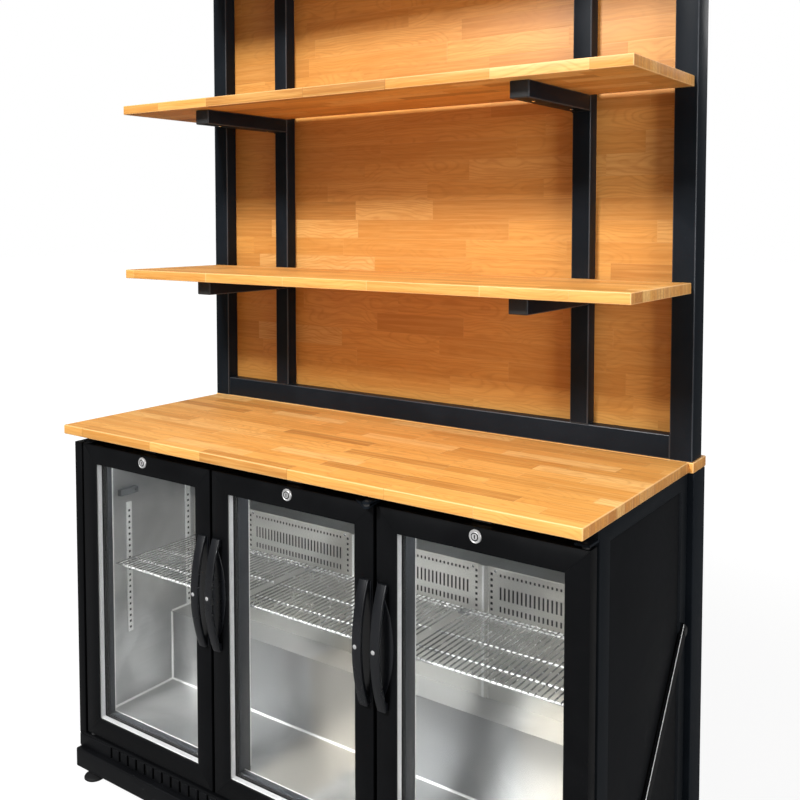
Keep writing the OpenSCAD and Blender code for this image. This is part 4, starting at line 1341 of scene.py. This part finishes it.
@dataclass
class Interior:
    """What the glass doors show: liner, covers, pilasters and wire shelves.

    Depths that end in _mm are millimetres behind the worktop's front edge.
    """

    wire_r: float = 0.0017
    rod_r: float = 0.0025
    wire_drop: float = 0.002
    wire_turn: float = 0.0015
    pitch: float = 0.013
    bend: float = 0.004
    side: float = 0.634
    floor: float = 0.146
    step: float = 0.330
    top: float = 0.808
    front_mm: float = 84
    step_mm: float = 296
    back_mm: float = 460
    fold: float = 0.0006
    fold_run: float = 0.002
    rim_r: float = 0.0016
    rim_out: float = 0.0004
    rim_cap: float = 0.0008
    ridge_half: float = 0.003
    ridge_out: float = 0.0014
    ridge_back_mm: float = 459
    head: Point = (0.002, 0.0034, 0.0004)
    screw_in: float = 0.018
    screw_levels: Pair = (0.045, 0.008)
    cover_least: float = 0.1
    cover_in: float = 0.002
    slit_shade_depths: Pair = (-0.0012, 0.0006)
    wide: float = 0.018
    rear_mm: float = 360
    front_strips_mm: float = 200
    shade_sheet_mm: Pair = (456.5, 459)
    shade_sheet_side: float = 0.632
    shade_sheet_top: float = 0.8055
    thin: float = 0.004
    hole_shade_start: float = 0.0002
    hole_shade_end: float = 0.0022
    rods_mm: Pair = (158, 354)

    def seams(self) -> None:
        """Builds the rounded bends along the liner's inner corners, in a near-white painted highlight, and the
        fold of the step.
        """
        front, step_y, back_y = (depth_mm(v) for v in (self.front_mm, self.step_mm, self.back_mm))
        side, floor, step, r, fold_out = self.side, self.floor, self.step, self.bend, self.fold
        bends, fold = Shape(), Shape()

        def quarter(along: Axis, corner: Pair, signs: tuple[int, int], *ends: float) -> None:
            """Adds a hollow quarter round.

            Args:
                along: Its direction.
                corner: The corner across this direction.
                signs: Where it opens from the corner.
                ends: Where it starts and ends.
            """
            (a, b), (sa, sb) = corner, signs
            arc = [(a + sa * (r - r * math.cos(t)), b + sb * (r - r * math.sin(t)))
                   for t in (math.pi / 2 * k / 6 for k in range(7))]
            bends.prism([corner, *arc], along, ends, smooth=True)

        quarter(Axis.X, (step_y, floor), (-1, 1), -side, side)
        quarter(Axis.X, (back_y, self.top), (-1, -1), -side, side)
        for s in (-1, 1):
            quarter(Axis.Y, (s * side, floor), (-s, 1), front, step_y)
            quarter(Axis.Y, (s * side, step), (-s, 1), step_y, back_y)
            quarter(Axis.Z, (s * side, step_y), (-s, -1), floor, step)
        run = self.fold_run
        fold.prism([(step_y, step), (step_y - fold_out, step - run), (step_y - fold_out, step + fold_out),
                    (step_y + run, step + fold_out)], Axis.X, (-side, side))
        fold.piece("step_fold", LINER, "liner_steel")
        bends.piece("liner_bends", BEND_HIGHLIGHT, "liner_steel")

    def covers(self) -> list[Box]:
        """Returns the boxes of the covers' front sheets."""
        return [b for b in solids("fan_panels") if b[1].z - b[0].z > self.cover_least]

    def cover_rims(self) -> None:
        """Builds the folded rims and the screws of the evaporator covers, and the ridges over their joints."""
        rims, screws, ridges = Shape(), Shape(), Shape()
        head, out = screw_head(*self.head), self.rim_out
        lower, upper = self.screw_levels
        for low, high in self.covers():
            a, b = low.x + self.cover_in, high.x - self.cover_in
            rims.wire([(a, low.y, high.z), (b, low.y, high.z)], self.rim_r)
            for x in (low.x + self.screw_in, high.x - self.screw_in):
                for z in (low.z + lower, high.z - upper):
                    screws.turned(head, (x, low.y, z), Axis.Y, sides=16)
        for low, high in solids("pilasters"):
            if low.y < depth_mm(self.rear_mm) or high.x - low.x < self.wide:
                continue
            rims.block((low.x - out, low.y - out, low.z), (high.x + out, low.y + out, high.z), ease=0.0002)
            rims.block((low.x, low.y, high.z - self.rim_cap),
                       (high.x, depth_mm(self.ridge_back_mm), high.z + out), ease=0.0002)
            middle, half = (low.x + high.x) / 2, self.ridge_half
            ridges.block((middle - half, low.y - self.ridge_out, low.z), (middle + half, low.y, high.z),
                         ease=0.0006)
        rims.piece("cover_rims", COVER, "liner_steel")
        ridges.piece("cover_joint_ridges", STRIP, "liner_steel")
        screws.piece("cover_screws", CHROME, "bright_metal")

    def shade_plates(self) -> None:
        """Builds black plates as painted shade behind the covers' slits and in the slotted strips' holes, and a
        dark sheet above the covers as painted shade.
        """
        slit_shade, over, backs = Shape(), Shape(), Shape()
        # Black plates behind the covers' slits: painted shade.
        for low, high in self.covers():
            near, far = (high.y + v for v in self.slit_shade_depths)
            slit_shade.block((low.x + self.cover_in, near, low.z + self.cover_in),
                         (high.x - self.cover_in, far, high.z - 2 * self.cover_in), ease=0.0002)
        slit_shade.piece("cover_slit_shade", PLASTIC, "black_plastic")
        # A dark sheet above the covers: painted shade on the upper back wall.
        near, far = (depth_mm(v) for v in self.shade_sheet_mm)
        top = max(high.z for _, high in solids("fan_panels"))
        over.block((-self.shade_sheet_side, near, top + 0.001), (self.shade_sheet_side, far, self.shade_sheet_top), ease=0.0008)
        over.piece("upper_shade_sheet", SHADE_SHEET, "liner_steel")
        # Black plates in the slotted strips' holes: painted shade.
        inset = Vector((0.001, 0.001, 0.001))
        for low, high in solids("pilasters"):
            a, b = low + inset, high - inset
            if high.x - low.x < self.thin:
                face, out = outward(low, high)
                a.x, b.x = sorted((face - out * self.hole_shade_start, face - out * self.hole_shade_end))
            elif low.y < depth_mm(self.front_strips_mm):
                a.y, b.y = low.y + self.hole_shade_start, low.y + self.hole_shade_end
            else:
                continue
            backs.block(a, b, ease=0.0001)
        backs.piece("strip_hole_shade", PLASTIC, "black_plastic")

    def shelves(self) -> None:
        """Builds the wire shelves with round wires."""
        wires, rods = Shape(), Shape()
        drop, turn, r = self.wire_drop, self.wire_turn, self.rod_r
        for low, high in solids("wire_shelves"):
            width = high.x - low.x
            count = int((width - 4 * self.wire_r) / self.pitch)
            first = low.x + (width - count * self.pitch) / 2
            z = high.z - self.wire_r
            for x in (first + k * self.pitch for k in range(count + 1)):
                wires.wire([(x, low.y, z - drop), (x, low.y + turn, z), (x, high.y - turn, z),
                            (x, high.y, z - drop)], self.wire_r, sides=8)
            front, rear = (depth_mm(v) for v in self.rods_mm)
            for y in (low.y + r, front, (low.y + high.y) / 2, rear, high.y - r):
                rods.wire([(low.x, y, low.z + r), (high.x, y, low.z + r)], r, sides=12)
        # The wires' darker plating is painted shade, the rods' near-white plating a painted highlight.
        wires.piece("shelf_wires", SHADED_WIRE, "shelf_wire", "wire_shelves")
        rods.piece("shelf_rods", LIT_ROD, "shelf_wire")

    def build(self) -> None:
        """Builds the fittings and dresses the liner."""
        dress(LINER, "liner_sheets", "shelf_clips")
        dress(COVER, "fan_panels")
        dress(STRIP, "pilasters")
        dress(LIGHT, "light_bar")
        dress(GREY_PLASTIC, "temperature_probe")
        self.seams()
        self.cover_rims()
        self.shade_plates()
        self.shelves()


@dataclass
class Machine:
    """Cooling machine behind the covers and the rear grille."""

    fans: tuple[str, ...] = ("evaporator_fan_left", "evaporator_fan_mid", "evaporator_fan_right", "condenser_fan")

    def build(self) -> None:
        """Dresses the machine's nodes."""
        dress(PLASTIC, *self.fans, "fan_motors", "control_box")
        dress(SHADED_FINS, "evaporator_coil")
        dress(FINS, "condenser_coil")
        dress(MACHINE, "compressor")


@dataclass
class Door:
    """A glass door with its frame, panes, gasket, handles and lock.

    Profiles are rows of points: radius and place along the axis of a turned form, and place across the bow with
    the share of its thickness.
    """

    name: str
    handles: tuple[Side, ...]
    bar: float = 0.045
    depth: float = 0.028
    lip: float = 0.003
    seat: float = 0.008
    gap: float = 0.0003
    ease: float = 0.0012
    spacer_in: float = 0.0065
    spacer_gap: float = 0.0002
    gasket_wide: float = 0.014
    bow_out: float = 0.0328
    bow_thick: float = 0.009
    bow_width: float = 0.021
    bow_height: float = 0.246
    bow_middle: float = 0.564
    bow_in: float = 0.007
    bow_steps: int = 40
    bow_profile: Profile = ((0.0, 0.30), (0.0012, 0.08), (0.003, 0.0))
    bow_back: Profile = ((0.0, 0.85), (0.002, 1.0))
    foot_half: float = 0.008
    foot_out: float = 0.009
    plate_edge: float = 0.003
    plate_less: float = 0.007
    plate_thick: float = 0.0025
    plate_ease: float = 0.0007
    plate_steps: int = 32
    button_profile: Profile = ((AXIS_R, -0.0011), (0.0028, -0.0010), (0.0041, -0.0004), (0.0045, 0.0006),
                               (0.0045, 0.002))
    button_off: float = 0.002
    ring_profile: Profile = ((0.0056, 0.0), (0.0056, -0.0028), (0.0066, -0.003), (0.0078, -0.0026),
                             (0.0084, -0.0018))
    rim_profile: Profile = ((0.003, -0.0018), (0.0018, -0.0026), (0.0008, -0.0024), (0.0, -0.0012), (0.0, 0.0))
    sleeve_profile: Profile = ((0.0056, 0.0), (0.008, 0.0), (0.008, 0.028), (0.0056, 0.028))
    groove_profile: Profile = ((0.0058, -0.0024), (0.0058, -0.0032), (0.0076, -0.0032), (0.0076, -0.0024))
    keyhole_shade: Pair = (0.0010, 0.0034)
    low: Vector = field(init=False)
    high: Vector = field(init=False)

    def __post_init__(self) -> None:
        """Reads the door's place from its frame."""
        self.low, self.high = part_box(f"door_frame_{self.name}")

    def add(self, shape: Shape, name: str, finish: Finish, slot: str, *nodes: str) -> None:
        """Makes a piece of the door, whose name and nodes end in the door's name.

        Args:
            shape: Its shape.
            name: Start of its name.
            finish: Its finish.
            slot: The material slot.
            nodes: Start of the names of the CAD nodes that it stands for.
        """
        nodes = tuple(f"{node}_{self.name}" for node in nodes)
        shape.piece(f"{name}_{self.name}", finish, slot, *nodes, body=f"door_{self.name}")

    def frame_bars(self) -> None:
        """Builds the four mitred bars of the frame."""
        b, d, s, f, e = self.bar, self.depth, self.seat, self.lip, self.ease
        bars = Shape()
        bars.bars([(e, 0), (b - e, 0), (b - 0.3 * e, 0.3 * e), (b, e), (b, f), (b - s, f), (b - s, d - f),
                   (b, d - f), (b, d - e), (b - e, d), (e, d), (0.3 * e, d - 0.3 * e), (0, d - e), (0, e),
                   (0.3 * e, 0.3 * e)], self.low, self.high, self.gap)
        self.add(bars, "frame_bars", DOOR_COAT, "door_black", "door_frame")

    def glazing(self) -> None:
        """Dresses the panes, and builds the spacer between them and the beads that hold them."""
        dress(GLASS, f"door_glass_{self.name}")
        outer, inner = sorted(solids(f"door_glass_{self.name}"), key=lambda b: b[0].y)
        front, rear = outer[1].y - self.low.y, inner[0].y - self.low.y
        b, g, deep = self.bar, self.spacer_gap, self.spacer_in
        spacer, bead = Shape(), Shape()
        spacer.bars([(b - deep, front + g), (b - 0.0008, front + g), (b + 0.0006, front + 0.0014),
                     (b + 0.0006, rear - 0.0014), (b - 0.0008, rear - g), (b - deep, rear - g)],
                    self.low, self.high)
        self.add(spacer, "pane_spacer", SPACER, "bright_metal")
        start, end, tail = self.ease, self.lip + 0.0001, self.depth - self.lip - 0.0001
        bead.bars([(b - g, start), (b + 0.0008, start + 0.0004), (b + 0.0016, end), (b - g, end)],
                  self.low, self.high)
        last = self.depth - 0.0008
        bead.bars([(b - g, tail), (b + 0.0022, tail), (b + 0.001, last), (b - g, last)], self.low, self.high)
        self.add(bead, "glazing_bead", RUBBER, "gasket_rubber")

    def gasket(self) -> None:
        """Builds the folded magnetic gasket."""
        low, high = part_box(f"door_gasket_{self.name}")
        inset, start, thick = low.x - self.low.x, low.y - self.low.y, high.y - low.y
        rising = ((0.002, 0.0), (0.001, 0.22), (0.0035, 0.42), (0.0, 0.62), (0.0, 0.93), (0.001, 1.0))
        near = [(inset + u, start + share * thick) for u, share in reversed(rising)]
        far = [(inset + self.gasket_wide - u, start + share * thick) for u, share in rising]
        fold = Shape()
        fold.bars([near[-1], *far, *near[:-1]], self.low, self.high, smooth=True)
        self.add(fold, "gasket_fold", RUBBER, "gasket_rubber", "door_gasket")

    def bow(self, bows: Shape, middle: float) -> None:
        """Adds the bowed bar of a handle and its two feet.

        Args:
            bows: Takes the forms.
            middle: Where the handle's middle lies.
        """
        half, w, t, face = self.bow_height / 2, self.bow_width / 2, self.bow_thick, self.low.y
        rise = self.bow_out - t
        radius = (half ** 2 + rise ** 2) / (2 * rise)
        sweep = math.asin(half / radius)
        fronts, backs = self.bow_profile, self.bow_back
        section = [(u - w, v) for u, v in fronts] + [(w - u, v) for u, v in (*reversed(fronts), *backs)]
        section += [(u - w, v) for u, v in reversed(backs)]
        rings = []
        for k in range(self.bow_steps + 1):
            angle = -sweep + 2 * sweep * k / self.bow_steps
            ring = []
            for x, share in section:
                r = radius - share * t
                y = min(face - self.bow_out + radius - r * math.cos(angle), face + 0.0002)
                ring.append(Vector((middle + x, y, self.bow_middle + r * math.sin(angle))))
            rings.append(ring)
        bows.rings(rings)
        for up in (-1, 1):
            z = self.bow_middle + up * (half - self.foot_out)
            bows.block((middle - w + 0.001, face - self.foot_out, z - self.foot_half),
                       (middle + w - 0.001, face, z + self.foot_half), ease=0.001)

    def plate(self, plates: Shape, side: Side) -> None:
        """Adds the finger plate behind a handle, whose inner edge is an arc.

        Args:
            plates: Takes the plate.
            side: The door's edge that it stands on.
        """
        s, half, steps, face = side.value, self.bow_height / 2, self.plate_steps, self.low.y
        x = (self.low.x if side is Side.LEFT else self.high.x) + s * self.plate_edge
        dish = self.bar - self.plate_less
        lens = (half ** 2 + dish ** 2) / (2 * dish)
        outline = [(x, self.bow_middle - half)]
        for z in (-half + 2 * half * k / steps for k in range(1, steps)):
            outline.append((x + s * (dish - lens + math.sqrt(max(lens ** 2 - z ** 2, 0))), self.bow_middle + z))
        outline.append((x, self.bow_middle + half))
        plates.prism(outline, Axis.Y, (face - self.plate_thick, face), self.plate_ease)

    def pulls(self) -> None:
        """Builds the door's handles: bowed bars, finger plates and buttons."""
        bows, plates, buttons = Shape(), Shape(), Shape()
        for side in self.handles:
            edge = self.low.x if side is Side.LEFT else self.high.x
            middle = edge + side.value * (self.bow_in + self.bow_width / 2)
            self.bow(bows, middle)
            self.plate(plates, side)
            at = (middle - self.button_off, self.low.y - self.bow_out, self.bow_middle)
            buttons.turned(self.button_profile, at, Axis.Y, sides=28)
        self.add(bows, "handle_bows", HANDLE_PLASTIC, "black_plastic", "door_handle")
        self.add(plates, "finger_plates", HANDLE_PLASTIC, "black_plastic")
        self.add(buttons, "handle_buttons", NICKEL, "bright_metal")

    def lock(self) -> None:
        """Builds the lock's rosette and its groove, a black block in the keyway as painted shade, and dresses its
        plug.
        """
        low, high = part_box(f"lock_housing_{self.name}")
        at = Vector(((low.x + high.x) / 2, self.low.y, (low.z + high.z) / 2))
        r = (high.x - low.x) / 2
        ring, groove, keyhole_shade = Shape(), Shape(), Shape()
        ring.turned([*self.ring_profile, *((r - u, v) for u, v in self.rim_profile)], at, Axis.Y, sides=56)
        ring.turned(self.sleeve_profile, at, Axis.Y, sides=32)
        self.add(ring, "lock_rosette", NICKEL, "bright_metal", "lock_housing")
        dress(NICKEL, f"lock_plug_{self.name}")
        groove.turned(self.groove_profile, at, Axis.Y, sides=56)
        self.add(groove, "lock_groove", RUBBER, "black_plastic")
        face, (x, z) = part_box(f"lock_plug_{self.name}")[0].y, self.keyhole_shade
        # A black block stands in for the keyway's shaded slot: painted shade.
        keyhole_shade.block((at.x - x, face - 0.0002, at.z - z), (at.x + x, face + 0.001, at.z + z), ease=0.0001)
        keyhole_shade.piece(f"keyway_{self.name}", RUBBER, "black_plastic", body=f"lock_{self.name}")

    def build(self) -> None:
        """Builds the whole door."""
        self.frame_bars()
        self.glazing()
        self.gasket()
        self.pulls()
        self.lock()
        if self.name == "mid":
            dress(STEEL, "pivot_arms")


# ---------------------------------------------------------------- studio


@dataclass
class Studio:
    """Floor, world, lamps and camera."""

    camera_at: Point = (1.3063, -1.69415, 1.3709)
    pitch_down: float = 3.0
    yaw: float = 35.231
    focal_px: float = 958.3
    picture_px: float = 800.0
    sensor: float = 36.0
    shift_y: float = -0.1625
    clip_start: float = 0.05
    rear_level: float = 0.12
    side_level: float = 0.13
    top_level: float = 0.36
    floor_half: float = 30.0
    floor_glow: float = 0.84
    lamp_rows: tuple[tuple[str, Point, Point, float, float], ...] = (
        ("key", (-0.9, -6.0, 5.75), (0.0, 0.0, 1.1), 1.3, 735.0),
        ("fill", (4.2, -1.4, 1.7), (0.1, 0.0, 0.8), 1.8, 95.0),
        ("back", (0.6, 3.8, 3.2), (0.0, 0.2, 1.0), 2.0, 30.0))

    def straight(self, tree: Tree) -> Socket:
        """Tells where the background is seen directly or through glass alone.

        Args:
            tree: The tree that asks.

        Returns:
            1 there, and 0 elsewhere.
        """
        path = tree.add("ShaderNodeLightPath").outputs
        bounced = tree.math("ADD", path["Glossy Depth"], path["Diffuse Depth"], clamp=True)
        through = tree.math("SUBTRACT", path["Is Transmission Ray"], bounced, clamp=True)
        return tree.math("MAXIMUM", path["Is Camera Ray"], through)

    def world(self) -> None:
        """Builds the white world, which lights the object more from above than from the sides."""
        world = bpy.data.worlds.new("studio")
        bpy.context.scene.world = world
        world.use_nodes = True
        tree = Tree(world.node_tree)
        x, y, z = tree.split(tree.add("ShaderNodeTexCoord").outputs["Generated"])
        facing = tree.plus(tree.times(x, -0.5), tree.times(y, -0.85))
        side = tree.span(facing, -0.9, 0.9, self.rear_level, self.side_level, smooth=True)
        level = tree.span(z, 0.05, 0.8, side, self.top_level, smooth=True)
        light = tree.fill(tree.add("ShaderNodeBackground"), Color=(1, 1, 1, 1),
                          Strength=tree.span(self.straight(tree), 0.0, 1.0, level, 1.0))
        tree.fill(tree.add("ShaderNodeOutputWorld"), Surface=light.outputs[0])

    def floor(self) -> None:
        """Builds the plain pale floor, which keeps the object's shadow."""
        data = bpy.data.meshes.new("floor")
        size = self.floor_half
        data.from_pydata([(-size, -size, 0), (size, -size, 0), (size, size, 0), (-size, size, 0)], [],
                         [(0, 1, 2, 3)])
        made = bpy.data.objects.new("floor", data)
        bpy.context.scene.collection.objects.link(made)
        material = bpy.data.materials.new("pale_floor")
        material.use_nodes = True
        tree = Tree(material.node_tree)
        colour = tree.mix(tree.noise(tree.place(), 40.0, 3.0), (0.19, 0.19, 0.19, 1), (0.21, 0.21, 0.21, 1))
        away = tree.vector("LENGTH", tree.place()).outputs["Value"]
        glow = tree.span(away, 1.2, 4.0, self.floor_glow, 1.0, smooth=True)
        shader = tree.principled(Base_Color=colour, Roughness=0.8, Specular_IOR_Level=0.1,
                                 Emission_Color=(1, 1, 1, 1),
                                 Emission_Strength=tree.times(self.straight(tree), glow))
        tree.fill(tree.add("ShaderNodeOutputMaterial"), Surface=shader)
        data.materials.append(material)

    def lamp(self, name: str, at: Point, aim: Point, size: float, watts: float) -> None:
        """Adds a square soft lamp.

        Args:
            name: Its name.
            at: Where it stands.
            aim: The point that it faces.
            size: Its width.
            watts: Its power.
        """
        data = bpy.data.lights.new(name, "AREA")
        data.shape = "SQUARE"
        data.size = size
        data.energy = watts
        made = bpy.data.objects.new(name, data)
        made.location = at
        made.rotation_euler = (Vector(aim) - Vector(at)).to_track_quat("-Z", "Y").to_euler()
        bpy.context.scene.collection.objects.link(made)

    def camera(self) -> None:
        """Places the camera at the photograph's angle."""
        data = bpy.data.cameras.new("camera")
        data.sensor_width = self.sensor
        data.lens = self.sensor * self.focal_px / self.picture_px
        data.shift_y = self.shift_y
        data.clip_start = self.clip_start
        made = bpy.data.objects.new("camera", data)
        made.location = self.camera_at
        made.rotation_euler = (math.radians(90.0 - self.pitch_down), 0.0, math.radians(self.yaw))
        bpy.context.scene.collection.objects.link(made)
        bpy.context.scene.camera = made

    def build(self) -> None:
        """Builds the studio."""
        self.world()
        self.floor()
        for row in self.lamp_rows:
            self.lamp(*row)
        self.camera()
        bpy.context.scene.view_settings.view_transform = "Standard"


def main() -> None:
    """Builds the studio and every sub-assembly in order."""
    logging.basicConfig(level=logging.INFO, format="%(message)s")
    doors = [Door("left", (Side.RIGHT,)), Door("mid", (Side.LEFT, Side.RIGHT)), Door("right", (Side.LEFT,))]
    parts = [Studio(), Counter(), ShelfFrame(), RearSupport(), Cabinet(), Interior(), Machine(), *doors]
    for part in parts:
        log.info("building %s", type(part).__name__)
        part.build()


if __name__ == "__main__":
    main()
